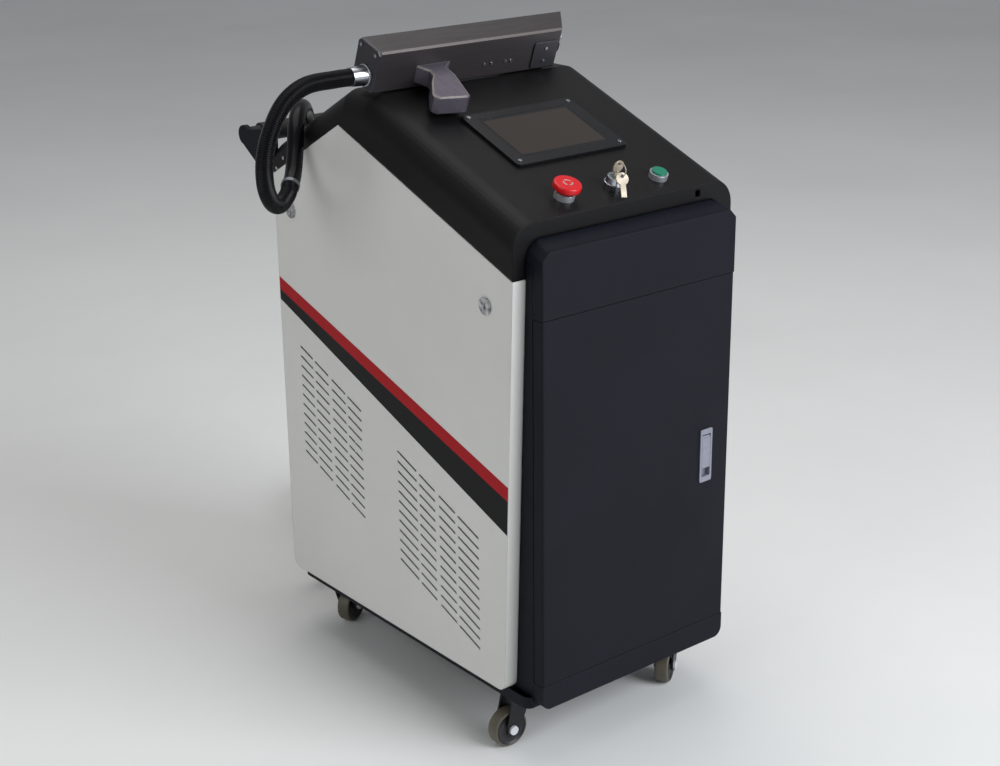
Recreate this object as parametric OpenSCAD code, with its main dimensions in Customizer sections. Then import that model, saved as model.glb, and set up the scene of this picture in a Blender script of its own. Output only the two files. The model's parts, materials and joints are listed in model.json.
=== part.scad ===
// Laser cleaning machine on casters: a sheet metal cabinet with a sloping console,
// a front door, vented side panels, and a handheld cleaning gun on a ribbed hose.
// Millimetres. X runs across the front, Y runs from the door to the rear, Z is up.
// The origin is on the floor under the middle of the machine.

/* [Cabinet] */
// Width of the black core, the door and the fascia
core_w = 360; // [340:5:400]
// How far each white side panel stands out from the core
pan_depth = 23; // [20:1:28]
// Depth from the face of the door to the rear face
cab_d = 611; // [600:1:630]
// Height of the tray's underside above the floor
tray_z = 88; // [86:1:96]
// Height of the base tray
tray_h = 18; // [14:1:18]
// How far the tray's sides stand out from the core
tray_out = 10; // [4:1:16]
// Thickness of the sheet metal
sheet_t = 1.5; // [1:0.1:2]
// Thickness of the top cover's sheet
cover_t = 2; // [1.5:0.1:2.5]
// Gap between neighbouring sheet metal pieces
seam = 0.8; // [0.5:0.1:1.2]

/* [Top cover] */
// Slope of the console in degrees
console_angle = 20.5; // [18:0.5:22]
// Slope of the rear of the cover in degrees
rear_angle = 29.3; // [27:0.1:31]
// Distance from the door's face to the lip of the cover
lip_y = 33; // [28:1:40]
// Height of the flat top above the lip's top edge
console_h = 122; // [116:0.5:126]
// Height of the lip's face above the fascia
lip_h = 24; // [20:1:28]
// Height of the flat top
top_z = 924.5; // [918:0.5:928]
// Radius of the cover's long edges
shoulder_r = 34; // [26:1:38]
// Height of the cover's side above a side panel, beside the console
front_skirt_h = 76.5; // [66:0.5:86]
// Height of the cover's side above a side panel, on the rear slope
rear_skirt_h = 46.5; // [40:0.5:54]
// Distance from the door's face to the highest corner of a side panel
apex_y = 428; // [418:1:436]
// Side of the small square hole in the lip
lip_hole = 9; // [6:1:12]
// Distance of that hole from the middle
lip_hole_x = 135; // [110:1:140]

/* [Side panels] */
// How far the front edge of a panel leans back towards its foot
panel_lean = 25; // [0:1:32]
// Corner radius of a panel's two lower corners
panel_r = 15; // [8:1:22]
// Corner radius of a panel's upper corners
panel_top_r = 4; // [2:1:8]
// Width of a vent slot
slot_w = 3.2; // [1.5:0.1:4.0]
// Height from one vent slot to the next
slot_pitch = 16; // [12:1:18]
// Number of slots in a column
slot_rows = 12; // [6:1:12]
// Slope of the slots in degrees
slot_angle = 21.3; // [15:0.1:24]
// Height of the first slot's front end
slot_top_z = 329.5; // [320:0.5:335]
// Height of the red stripe's upper edge at the front
stripe_front_z = 430; // [420:1:445]
// Height of the red stripe's upper edge at the rear
stripe_rear_z = 606; // [596:1:620]
// Width of the red stripe
red_w = 20; // [12:1:26]
// Width of the black stripe at the front
black_front_w = 53; // [30:1:56]
// Width of the black stripe at the rear
black_rear_w = 17; // [10:1:24]
// Thickness of the stripes' film
film_t = 0.2; // [0.1:0.1:0.4]

/* [Door] */
// Height of the door's lower edge above the floor
door_z = 131; // [128:1:136]
// Height of the door
door_h = 543; // [520:1:548]
// Depth of the door pan
door_d = 19; // [18:1:22]
// Bend radius of the door's upright edges
bend_r = 3; // [2:0.5:4]
// Radius of the hinge pins
pivot_r = 2; // [1.5:0.1:2.2]
// Height of the fascia's face above the floor
fascia_face_z = 768; // [758:1:772]
// Radius of the fascia's upper corners
fascia_r = 25; // [15:1:30]
// Height of the front skirt's lower edge above the floor
skirt_z = 92; // [90:1:98]
// Radius of the skirt's lower corners
skirt_r = 15; // [10:1:18]
// Width of the latch plate
latch_w = 24; // [22:1:30]
// Height of the latch plate
latch_h = 83; // [70:1:90]
// Distance from the door's opening edge to the latch plate
latch_edge = 35; // [28:1:45]
// Height of the latch plate's middle above the floor
latch_z = 404; // [380:1:430]
// How far the latch plate stands out from the door
latch_proud = 2; // [1:0.5:3]

/* [Controls] */
// Width of the display's bezel
hmi_w = 203; // [190:1:215]
// Height of the display's bezel along the console
hmi_h = 138; // [130:1:144]
// Thickness of the display's bezel
hmi_t = 5; // [4:0.5:7]
// Width of the display's glass
glass_w = 160; // [150:1:165]
// Height of the display's glass
glass_h = 104; // [96:1:106]
// Distance from the door's face to the middle of the display
hmi_y = 208; // [204:1:214]
// Distance from the door's face to the row of controls
control_y = 66; // [64:1:70]
// Diameter of the stop button's head
stop_d = 40; // [34:1:44]
// Place of the stop button across the console
stop_x = -86; // [-92:1:-70]
// Place of the key switch across the console
key_x = 2; // [-8:1:12]
// Place of the start button across the console
start_x = 88; // [80:1:95]
// Diameter of the panel holes of the controls
control_hole = 22; // [20:0.5:24]
// Travel of the stop button
stop_travel = 4; // [3:0.5:5]
// Travel of the start button
start_travel = 2.5; // [1.5:0.5:3]

/* [Gun] */
// Length of the gun's housing along its near edge
gun_l = 331; // [310:1:345]
// Extra length of the housing along its far edge
gun_skew = 38; // [20:1:45]
// Depth of the housing along the slope
gun_d = 52; // [46:1:58]
// Height of the housing square to the slope
gun_h = 65; // [58:1:72]
// Place of the housing's hose end across the machine
gun_x = -184; // [-190:1:-175]
// Distance from the door's face to the housing's near edge
gun_y = 360; // [360:1:364]
// Thickness of the housing's walls
gun_wall = 3; // [2:0.5:4]
// Width of the housing's edge chamfers
gun_chamfer = 3; // [2:0.5:4]
// Length of the pistol grip
grip_l = 96; // [85:1:105]
// Width of the pistol grip
grip_w = 87; // [78:1:95]
// Thickness of the pistol grip
grip_t = 27; // [24:1:30]
// Height of the grip above the housing's underside
grip_up = 10; // [8:1:14]
// Travel of the trigger
trigger_travel = 3; // [2:0.5:4]
// Place of the gland along the gun's depth
gland_s = 22; // [20:1:26]
// Height of the gland's axis above the housing's underside
gland_up = 20; // [19:1:28]
// Diameter of the window at the gun's free end
window_d = 30; // [24:1:34]

/* [Hose] */
// Outer diameter of the hose
hose_d = 25; // [22:0.5:25]
// Bore of the ribbed sleeve
sleeve_bore = 19; // [16:0.5:20]
// Depth of a rib
rib_h = 0.8; // [0.5:0.1:1.2]
// Number of ribs on the sleeve
ribs = 130; // [60:5:180]
// Gap between the loops of the coil
loop_gap = 1; // [0.6:0.1:1]
// Radius of the coil's innermost loop
coil_r = 132.5; // [120:0.5:145]

/* [Casters] */
// Diameter of a caster wheel
wheel_d = 58; // [50:1:60]
// Width of a caster wheel
wheel_w = 22; // [18:1:24]
// Distance from a swivel axis back to its wheel's axle
trail = 25; // [20:1:27]
// Distance from the core's side to a caster's swivel
caster_in = 28; // [24:1:34]
// Distance from the door's face to the front swivel axes
caster_front_y = 84; // [80:1:95]
// Distance from the rear face to the rear swivels
caster_rear_in = 63; // [56:1:80]

/* [Rear] */
// How far the push bar's axis is behind the rear face
handle_reach = 88; // [80:1:96]
// Height of the push bar's axis above the floor
bar_z = 816; // [808:1:822]
// Diameter of the push bar's grip
grip_d = 30; // [26:1:32]
// Height of the hose gland's axis above the floor
rear_gland_z = 130; // [128:1:150]
// Diameter of the fan's opening
fan_d = 112; // [100:1:116]
// Height of the fan's axis above the floor
fan_z = 560; // [540:1:600]
// Diameter of the bore of the power inlet
inlet_bore = 12; // [9:0.5:14]
// Diameter of the bore of the gas inlet
gas_bore = 8; // [6:0.5:8]

/* [Hidden] */
$fn = 48;

black = "#2b2b2f";
white = "#e4e3dd";
gun_grey = "#55535a";
chrome = "#c9ccd0";

// Overrun of every cut, play of flat fits, running play of round fits, and play of a seat
over = 1;
fit = 0.3;
run_fit = 0.05;
seat = 0.05;

half_core = core_w / 2;
caster_x = half_core - caster_in;
caster_rear_y = cab_d - caster_rear_in;
half_cab = half_core + pan_depth;
console_rise = tan(console_angle);
rear_fall = tan(rear_angle);
deck_z = tray_z + tray_h;
lip_top_z = top_z - console_h;
panel_top_z = lip_top_z - front_skirt_h;
apex_z = panel_top_z + console_rise * (apex_y - lip_y);
panel_rear_z = apex_z - rear_fall * (cab_d - apex_y);
lip_z = lip_top_z - lip_h;
rear_plane_z = apex_z + rear_skirt_h;
top_front_y = lip_y + (top_z - lip_top_z) / console_rise;
top_rear_y = apex_y - (top_z - rear_plane_z) / rear_fall;
grip_r = grip_d / 2;
mid_y = (cab_d + handle_reach + grip_r - latch_proud) / 2;

// Height of the console at a distance y from the door's face
function console_z(y) = lip_top_z + console_rise * (y - lip_y);

// Moves what is measured from the door's face into the machine's own frame
module placed() translate([0, -mid_y, 0]) children();

// Stands children on the console at a place across it and a distance from the door
module on_console(x, y) translate([x, y, console_z(y)]) rotate([console_angle, 0, 0]) children();

function unit(v) = v / norm(v);
function mid(a, b) = (a + b) / 2;
function half_angle(a, b) = acos(a * b) / 2;

// The directions from corner i of an outline to its two neighbours
function corner_edges(p, i) = let (n = len(p))
    [unit(p[(i + n - 1) % n] - p[i]), unit(p[(i + 1) % n] - p[i])];

// Corner i of a convex outline moved inwards by d
function inward(p, i, d) = let (e = corner_edges(p, i))
    p[i] + unit(e[0] + e[1]) * d / sin(half_angle(e[0], e[1]));
function inset(p, d) = [for (i = [0:len(p) - 1]) inward(p, i, d)];

// The points where a rounding of radius r meets the edges at corner i
function tangents(p, i, r) = let (e = corner_edges(p, i), d = r / tan(half_angle(e[0], e[1])))
    r > 0 ? [p[i] + e[0] * d, p[i] + e[1] * d] : [p[i]];

// A convex outline with its corners rounded by true arcs
module rounded(p, r) {
    polygon([for (i = [0:len(p) - 1]) for (q = tangents(p, i, r[i])) q]);
    for (i = [0:len(p) - 1])
        if (r[i] > 0) translate(inward(p, i, r[i])) circle(r[i]);
}

function box_points(x, y, w, h) = [[x, y], [x + w, y], [x + w, y + h], [x, y + h]];

// A rectangle about its centre with rounded corners
module rounded_rect(w, h, r) rounded(box_points(-w / 2, -h / 2, w, h), [r, r, r, r]);

// Stands an outline in Y and Z and gives it a thickness along X from x
module along_x(x, t) translate([x, 0, 0]) rotate([90, 0, 90]) linear_extrude(t) children();

// Stands an outline in X and Z and gives it a thickness along Y from y
module along_y(y, t) translate([0, y + t, 0]) rotate([90, 0, 0]) linear_extrude(t) children();

// Makes a child and its mirror image on the other side
module both_sides() {
    children();
    mirror([1, 0, 0]) children();
}

// Round rods along Y and along X
module rod_y(r, l) rotate([-90, 0, 0]) cylinder(r = r, h = l);
module rod_x(r, l) rotate([0, 90, 0]) cylinder(r = r, h = l);

// Base tray
tray_half = half_core + tray_out;
tray_front = 22;
tray_short = 8;
tray_rear = cab_d - tray_short;
tray_corner = 12;
tray_wall = 2;

module tray_outline(d) translate([0, mid(tray_front, tray_rear)])
    rounded_rect(2 * (tray_half - d), tray_rear - tray_front - 2 * d, tray_corner - d);

module base_tray() color(black) difference() {
    translate([0, 0, tray_z]) linear_extrude(tray_h - fit) tray_outline(0);
    translate([0, 0, tray_z + tray_wall]) linear_extrude(tray_h) tray_outline(tray_wall);
}

// Inner frame: four posts, rails, a shelf, and two gussets that carry the cover
post_w = 22;
post_wall = 2;
post_x = half_core - post_w * 0.7;
post_front_y = 92;
post_rear_in = 36;
post_rear_y = cab_d - post_rear_in;
shelf_z = 400;
shelf_t = 2;
rail_z = 660;
gusset_t = 2;
gusset_h = 30;
cable_hole_r = 20;
cover_drop = (cover_t + fit) / cos(rear_angle);

module post(y) translate([post_x, y, tray_z + tray_wall]) difference() {
    linear_extrude(rail_z - tray_z) square(post_w, center = true);
    translate([0, 0, -over]) linear_extrude(rail_z)
        square(post_w - 2 * post_wall, center = true);
}

module rail(z) translate([post_x - post_w / 2, post_front_y, z])
    cube([post_w, post_rear_y - post_front_y, post_w]);

// The gusset's outline under the cover, drawn in by d
module gusset_outline(d) polygon([
    [post_front_y + d, rail_z + d], [post_front_y + d, console_z(post_front_y) - cover_drop - d],
    [top_front_y, top_z - cover_drop - d], [top_rear_y, top_z - cover_drop - d],
    [post_rear_y - d, rear_plane_z - rear_fall * (post_rear_y - apex_y) - cover_drop - d],
    [post_rear_y - d, rail_z + d]]);

module inner_frame() color("#8a8d92") {
    both_sides() {
        post(post_front_y);
        post(post_rear_y);
        rail(rail_z);
        rail(shelf_z - post_w);
        along_x(post_x - gusset_t, gusset_t) difference() {
            gusset_outline(0);
            gusset_outline(gusset_h);
        }
    }
    difference() {
        translate([-post_x, post_front_y + post_w, shelf_z - shelf_t])
            cube([2 * post_x, post_rear_y - post_front_y - 2 * post_w, shelf_t]);
        for (s = [-1, 1]) translate([s * half_core / 2, post_rear_y - 2 * post_w, shelf_z - shelf_t - over])
            cylinder(r = cable_hole_r, h = shelf_t + 2 * over);
    }
}

// Front frame: a shallow box round the door's opening
frame_front = door_d + sheet_t;
frame_depth = 46;
frame_back = frame_front + frame_depth;
frame_top = 748;
rebate = 15;

module front_frame() color(black) difference() {
    translate([-half_core, frame_front, deck_z])
        cube([core_w, frame_back - frame_front, frame_top - deck_z]);
    translate([-half_core + sheet_t, frame_front + sheet_t, deck_z + sheet_t])
        cube([core_w - 2 * sheet_t, frame_back, frame_top - deck_z - 2 * sheet_t]);
    translate([-half_core + rebate, frame_front - over, door_z + rebate])
        cube([core_w - 2 * rebate, frame_back, door_h - 2 * rebate]);
}

// Hinge of the door: blocks in the door, the fascia and the skirt that hold the pins
pivot_in = 4;
pivot_y = 13;
pivot_x = -half_core + pivot_in;
hinge_h = 7;
hinge_w = 11;
hinge_d = 12;

module hinge_block(z) translate([-half_core + sheet_t / 2, pivot_y - hinge_d / 2, z])
    cube([hinge_w, hinge_d, hinge_h]);
module hinge_bore(z, h) translate([pivot_x, pivot_y, z]) cylinder(r = pivot_r + run_fit, h = h);

// Fascia: the bent sheet above the door, rounded at its upper corners
fascia_z = door_z + door_h + seam;
fascia_top = lip_z - seam;
fascia_in = 10;
fascia_back = lip_y + fascia_in;

// The fascia's side profile drawn in by d, open at the foot and the rear where d isn't zero
module fascia_profile(d) let (o = d > 0 ? over : 0) polygon([
    [d, fascia_z - o], [d, fascia_face_z], [lip_y, fascia_top - d], [fascia_back + o, fascia_top - d],
    [fascia_back + o, frame_top + fit - o], [frame_front - fit, frame_top + fit - o],
    [frame_front - fit + o, fascia_z - o]]);

module fascia_solid(d) difference() {
    intersection() {
        along_x(-half_core + d, core_w - 2 * d) fascia_profile(d);
        along_y(-over, fascia_back + 2 * over + d)
            rounded(box_points(-half_core + d, fascia_z - over, core_w - 2 * d,
                fascia_top - fascia_z + over - d), [0, 0, fascia_r - d, fascia_r - d]);
    }
    both_sides() corner_cut(d);
}

// Each upper front corner is cut by a plane through three points: one on the top edge of the face,
// one on its side edge, and the middle of the corner's arc at the lip. It lies deeper by d.
corner_w = 12;
cut_block = 100;
corner_inset = fascia_r * (1 - sqrt(0.5));
corner_points = [[half_core - corner_w, 0, fascia_face_z], [half_core, 0, fascia_face_z - corner_w],
    [half_core - corner_inset, lip_y, fascia_top - corner_inset]];
corner_normal = unit(cross(corner_points[1] - corner_points[0], corner_points[2] - corner_points[0]));

module corner_cut(d) translate(corner_points[0] - d * corner_normal) towards(corner_normal)
    translate([-cut_block / 2, -cut_block / 2, 0]) cube(cut_block);

module front_fascia() color(black) difference() {
    union() {
        difference() {
            fascia_solid(0);
            fascia_solid(sheet_t);
        }
        translate([-half_core + sheet_t / 2, sheet_t / 2, fascia_z])
            cube([core_w - sheet_t, frame_front - fit - sheet_t / 2, sheet_t]);
        hinge_block(fascia_z);
    }
    hinge_bore(fascia_z - over, hinge_h);
}

// Skirt: the bent sheet below the door, rounded at its lower corners
skirt_top = door_z - seam;

module skirt_front(d) rounded(
    box_points(-half_core + d, skirt_z + d, core_w - 2 * d, skirt_top - skirt_z - 2 * d),
    [skirt_r - d, skirt_r - d, 0, 0]);

module front_skirt() color(black) difference() {
    union() {
        difference() {
            along_y(0, frame_front - fit) skirt_front(0);
            along_y(sheet_t, frame_front) skirt_front(sheet_t);
        }
        hinge_block(skirt_top - hinge_h);
    }
    hinge_bore(skirt_top - hinge_h + over, hinge_h);
}

// Door: a pan of bent sheet with return flanges, and the two hinge pins fixed in it
door_top = door_z + door_h;
pin_play = 1;

module door_plan(d) rounded(box_points(-half_core + d, d, core_w - 2 * d, door_d - 2 * d),
    [bend_r - d, bend_r - d, 0, 0]);

module door_panel() color(black) difference() {
    union() {
        difference() {
            translate([0, 0, door_z]) linear_extrude(door_h) door_plan(0);
            translate([0, 0, door_z + sheet_t]) linear_extrude(door_h - 2 * sheet_t) door_plan(sheet_t);
            translate([-half_core + rebate, door_d / 2, door_z + rebate])
                cube([core_w - 2 * rebate, door_d, door_h - 2 * rebate]);
        }
        hinge_block(door_z);
        hinge_block(door_top - hinge_h);
    }
    hinge_bore(door_z - over, hinge_h + over - pin_play);
    hinge_bore(door_top - hinge_h + pin_play, hinge_h + over);
    translate([latch_x - pocket_w / 2 - pocket_wall - fit, -over, latch_z - pocket_h / 2 - pocket_wall - fit])
        cube([pocket_w + 2 * (pocket_wall + fit), sheet_t + 2 * over, pocket_h + 2 * (pocket_wall + fit)]);
}

pin_l = 2 * (hinge_h - 2 * pin_play) + seam;

module door_pins() color(chrome) {
    translate([pivot_x, pivot_y, door_top - hinge_h + 2 * pin_play]) cylinder(r = pivot_r, h = pin_l);
    translate([pivot_x, pivot_y, door_z + hinge_h - 2 * pin_play - pin_l]) cylinder(r = pivot_r, h = pin_l);
}

// Latch: a plate with a pocket, and the paddle that swings out of it
latch_x = half_core - latch_edge - latch_w / 2;
latch_corner = 3;
pocket_wall = 1;
pocket_w = latch_w * 0.7;
pocket_h = latch_h * 0.8;
pocket_d = 7;
paddle_pin_r = 1.2;
paddle_t = 2.5;
paddle_in = 5;
paddle_w = pocket_w - 2 * fit;
paddle_l = pocket_h * 0.72;
paddle_y = paddle_pin_r + fit;
paddle_top = pocket_h / 2 - paddle_in;
pin_reach = pocket_wall * 0.8;

module latch_plate() color(chrome) translate([latch_x, 0, latch_z]) difference() {
    union() {
        along_y(-latch_proud, latch_proud - seat) rounded_rect(latch_w, latch_h, latch_corner);
        along_y(-latch_proud, pocket_d + latch_proud)
            square([pocket_w + 2 * pocket_wall, pocket_h + 2 * pocket_wall], center = true);
    }
    along_y(-latch_proud - over, pocket_d + latch_proud + over - pocket_wall)
        square([pocket_w, pocket_h], center = true);
    translate([-pocket_w / 2 - pocket_wall - over, paddle_y, paddle_top])
        rod_x(paddle_pin_r + run_fit, pocket_w + 2 * (pocket_wall + over));
}

module latch_paddle() color(chrome) translate([latch_x, 0, latch_z]) {
    translate([-paddle_w / 2, -latch_proud, paddle_top - paddle_l]) cube([paddle_w, paddle_t, paddle_l]);
    translate([-paddle_w / 2, paddle_y, paddle_top]) rod_x(2 * paddle_pin_r, paddle_w);
    translate([-pocket_w / 2 - pin_reach, paddle_y, paddle_top])
        rod_x(paddle_pin_r, pocket_w + 2 * pin_reach);
}

// Side panels: pans that hook over the core, with eight columns of vent slots each
side_outline = [
    [lip_y, panel_top_z], [lip_y + panel_lean, deck_z], [cab_d, deck_z],
    [cab_d, panel_rear_z], [apex_y, apex_z]];
side_radii = [panel_top_r, panel_r, panel_r, panel_top_r, 0];

// Each column of slots: its front end and its length, as shares of the cabinet's depth
slot_column_shares = [
    [0.1866, 0.0769], [0.2750, 0.0606], [0.3527, 0.0606], [0.4247, 0.0753],
    [0.6504, 0.0573], [0.7185, 0.0583], [0.7926, 0.0574], [0.8609, 0.0538]];

module vent_slots() for (c = slot_column_shares, k = [0:slot_rows - 1])
    translate([half_cab - sheet_t - over, c[0] * cab_d,
        slot_top_z + tan(slot_angle) * (c[0] - slot_column_shares[0][0]) * cab_d - k * slot_pitch])
        rotate([slot_angle, 0, 0]) translate([0, 0, -slot_w / 2])
            cube([sheet_t + 2 * over, c[1] * cab_d / cos(slot_angle), slot_w]);

// The locks' places: distance from the door's face and height above the floor
lock_hole_r = 9.5;
lock_in = 57.5;
lock_down = 45;
rear_lock_in = 45;
rear_lock_down = 50;
front_lock = [lip_y + lock_in, panel_top_z - lock_down];
rear_lock = [cab_d - rear_lock_in, panel_rear_z - rear_lock_down];

module side_panel() difference() {
    along_x(half_core + fit, pan_depth - fit) rounded(side_outline, side_radii);
    along_x(half_core, pan_depth - sheet_t)
        rounded(inset(side_outline, sheet_t), [for (r = side_radii) max(r - sheet_t, 0)]);
    vent_slots();
    for (p = [front_lock, rear_lock]) translate([half_cab - sheet_t - over, p[0], p[1]])
        rod_x(lock_hole_r, sheet_t + 2 * over);
}

module left_side_panel() color(white) mirror([1, 0, 0]) side_panel();
module right_side_panel() color(white) side_panel();

// Distance from the door's face to a side panel's front edge at a height z
function panel_front(z) = lip_y + panel_lean * (panel_top_z - z) / (panel_top_z - deck_z);

// A film across the side panel, from its height and width at the front to those at the rear
module band(front_z, rear_z, front_w, rear_w) along_x(half_cab + seat, film_t) polygon([
    [panel_front(front_z) + over, front_z], [panel_front(front_z - front_w) + over, front_z - front_w],
    [cab_d - over, rear_z - rear_w], [cab_d - over, rear_z]]);

module side_stripes() both_sides() {
    color("#b3151d") band(stripe_front_z, stripe_rear_z, red_w, red_w);
    color("#1d1d1f") band(stripe_front_z - red_w - seat, stripe_rear_z - red_w - seat,
        black_front_w, black_rear_w);
}

// Top cover: three planes with round shoulders, open below

// The shoulder's section in narrow flats, as places across and depths below a plane
shoulder_flats = 8;
function shoulder(d, s) = [for (k = [0:shoulder_flats]) let (a = 90 * k / shoulder_flats)
    [s * (half_cab - shoulder_r + (shoulder_r - d) * cos(a)), shoulder_r - (shoulder_r - d) * sin(a)]];
function back_to_front(p) = [for (i = [len(p) - 1:-1:0]) p[i]];

// The cover's outline drawn in by d at its lip, at the two mitres of its planes, and at its rear
function cover_ring(j, d) = let (
    sides = concat(shoulder(d, 1), back_to_front(shoulder(d, -1))),
    y = j == 0 ? lip_y + d : cab_d - d,
    p = [for (c = sides)
        j == 0 ? [c[0], y, console_z(y) - c[1] / cos(console_angle)]
        : j == 1 ? [c[0], top_front_y + c[1] * tan(console_angle / 2), top_z - c[1]]
        : j == 2 ? [c[0], top_rear_y - c[1] * tan(rear_angle / 2), top_z - c[1]]
        : [c[0], y, rear_plane_z - rear_fall * (y - apex_y) - c[1] / cos(rear_angle)]],
    last = p[len(p) - 1])
    concat([[p[0][0], p[0][1], deck_z]], p, [[last[0], last[1], deck_z]]);

module cover_block(d) tube([for (j = [0:3]) cover_ring(j, d)]);

// The space below the cover's lower edge, which follows the side panels
module below_cover() along_x(-half_cab - over, 2 * (half_cab + over)) polygon([
    [lip_y - over, 0], [cab_d + over, 0], [cab_d + over, panel_rear_z + seam], [cab_d, panel_rear_z + seam],
    [apex_y, apex_z + seam], [lip_y, panel_top_z + seam], [lip_y - over, panel_top_z + seam]]);

module top_cover() color(black) difference() {
    cover_block(0);
    cover_block(cover_t);
    below_cover();
    along_y(lip_y - over, cover_t + 2 * over)
        rounded(box_points(-half_core - seam, 0, core_w + 2 * seam, lip_z), [0, 0, fascia_r, fascia_r]);
    translate([lip_hole_x - lip_hole / 2, lip_y - over, mid(lip_z, lip_top_z) - lip_hole / 2])
        cube([lip_hole, cover_t + 2 * over, lip_hole]);
    for (x = [stop_x, key_x, start_x]) on_console(x, control_y) translate([0, 0, -2 * cover_t])
        cylinder(d = control_hole, h = 3 * cover_t);
    on_console(0, hmi_y) translate([0, 0, -2 * cover_t]) linear_extrude(3 * cover_t)
        square([hmi_w - hmi_rim, hmi_h - hmi_rim], center = true);
}

// Display: a bezel on the console with a case below it, and glass let into its face
hmi_rim = 20;
hmi_corner = 6;
glass_t = 2;
case_d = 28;
screw_r = 3;
screw_h = 1.6;
screw_in = 9;

module hmi_corners() for (x = [-1, 1], y = [-1, 1])
    translate([x * (hmi_w / 2 - screw_in), y * (hmi_h / 2 - screw_in), hmi_t]) children();

module hmi_bezel() color("#17181b") on_console(0, hmi_y) difference() {
    union() {
        translate([0, 0, seat]) linear_extrude(hmi_t - seat) rounded_rect(hmi_w, hmi_h, hmi_corner);
        translate([0, 0, -case_d]) linear_extrude(case_d + hmi_t / 2)
            square([hmi_w - hmi_rim - 2 * fit, hmi_h - hmi_rim - 2 * fit], center = true);
    }
    translate([0, 0, hmi_t - glass_t]) linear_extrude(hmi_t) square([glass_w, glass_h], center = true);
}

module hmi_glass() color("#26272a") on_console(0, hmi_y) translate([0, 0, hmi_t - glass_t])
    linear_extrude(glass_t - fit) square([glass_w - fit, glass_h - fit], center = true);

// Controls: round bodies in the console's holes, with sliding or turning parts in their bores
stem_r = 7;
body_l = 40;
collar_h = 9;
nut_rim = 2.5;
stem_end = -body_l / 2 + over;

module control_body(collar_r, h, bore_r) difference() {
    union() {
        translate([0, 0, seat]) cylinder(r = collar_r, h = h - seat);
        translate([0, 0, -body_l / 2]) cylinder(d = control_hole - fit, h = body_l / 2 + h / 2);
        translate([0, 0, -body_l]) cylinder(r = control_hole / 2 + nut_rim, h = body_l - cover_t - fit);
    }
    translate([0, 0, -body_l / 2]) cylinder(r = bore_r + run_fit, h = body_l + h);
}

stop_collar_r = 14.5;
stop_head_h = 10;
stop_edge_r = 3;

module estop_collar() color(chrome) on_console(stop_x, control_y)
    control_body(stop_collar_r, collar_h, stem_r);

module estop_head() color("#d2232a") on_console(stop_x, control_y) {
    translate([0, 0, stem_end + stop_travel]) cylinder(r = stem_r, h = collar_h - stem_end + 2 * over);
    translate([0, 0, collar_h + stop_travel + over]) rotate_extrude() {
        square([stop_d / 2 - stop_edge_r, stop_head_h]);
        translate([0, stop_edge_r]) square([stop_d / 2, stop_head_h - 2 * stop_edge_r]);
        for (z = [stop_edge_r, stop_head_h - stop_edge_r])
            translate([stop_d / 2 - stop_edge_r, z]) circle(stop_edge_r);
    }
}

start_collar_r = 13.5;
button_r = 11;
button_h = 4;

module start_bezel() color(chrome) on_console(start_x, control_y) difference() {
    control_body(start_collar_r, collar_h, stem_r);
    translate([0, 0, collar_h - button_h]) cylinder(r = button_r + run_fit, h = button_h + over);
}

module start_button() color("#11886c") on_console(start_x, control_y) {
    translate([0, 0, stem_end + start_travel]) cylinder(r = stem_r, h = collar_h - stem_end);
    translate([0, 0, collar_h - button_h + start_travel + fit]) cylinder(r = button_r, h = button_h);
}

key_collar_r = 14;
barrel_r = 11;
barrel_h = 18;

module key_barrel() color(chrome) on_console(key_x, control_y) difference() {
    union() {
        control_body(key_collar_r, barrel_h / 2, stem_r);
        translate([0, 0, seat]) cylinder(r1 = key_collar_r, r2 = barrel_r, h = barrel_h - seat);
    }
    translate([0, 0, -body_l / 2]) cylinder(r = stem_r + run_fit, h = body_l + barrel_h);
}

key_t = 2;
key_w = 8;
bow_r = 9;
key_lift = 6;
key_blade = 14;
spare_blade = 17;
key_hole_r = 2.6;
key_hole_up = 1.4 * bow_r;
ring_r = 9;
ring_wire = 0.8;

module key_rotor() color("#4f6f6f") on_console(key_x, control_y) difference() {
    translate([0, 0, stem_end]) cylinder(r = stem_r, h = barrel_h - stem_end);
    translate([-key_w / 2 - run_fit, -key_t / 2 - run_fit, barrel_h - key_blade])
        cube([key_w + 2 * run_fit, key_t + 2 * run_fit, barrel_h]);
}

// A flat key that stands in X and Z on the foot of its bow, with its blade below
module flat_key(blade) along_y(-key_t / 2, key_t) difference() {
    union() {
        translate([0, bow_r]) circle(bow_r);
        translate([-key_w / 2, -blade]) square([key_w, blade + bow_r / 2]);
    }
    translate([0, key_hole_up]) circle(key_hole_r);
}

ring_x = -1.4;
ring_lean = 0.91 * ring_r;
ring_up = barrel_h + key_lift + key_hole_up - 0.4 * ring_r;
spare_x = ring_x - 0.9;
spare_lean = ring_lean + 7;
spare_up = ring_up - 10.2;
spare_turn = -5;
spare_tilt = -48;
spare_roll = -18.5;

// The key in the lock, the ring through its bow, and the spare key that hangs from the ring
module key_set() on_console(key_x, control_y) {
    color("#9b958a") translate([0, 0, barrel_h + key_lift]) flat_key(key_blade);
    color(chrome) translate([ring_x, -ring_lean, ring_up]) rotate([0, 90, 0])
        rotate_extrude() translate([ring_r, 0]) circle(ring_wire);
    color("#cfc4a4") translate([spare_x, -spare_lean, spare_up]) rotate([0, 0, spare_roll])
        rotate([spare_tilt, 0, 0]) rotate([0, 0, spare_turn]) translate([0, 0, -bow_r]) flat_key(spare_blade);
}

// Cam locks of the side panels: a flanged shell, and a core that carries a cam
lock_flange_r = 12.5;
lock_flange_t = 2;
lock_l = 16;
lock_core_r = 6;
cam_l = 30;
cam_w = 14;
cam_t = 3;
recess_w = 2;
recess_h = 8;

module at_lock(p) translate([half_cab, p[0], p[1]]) children();

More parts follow.
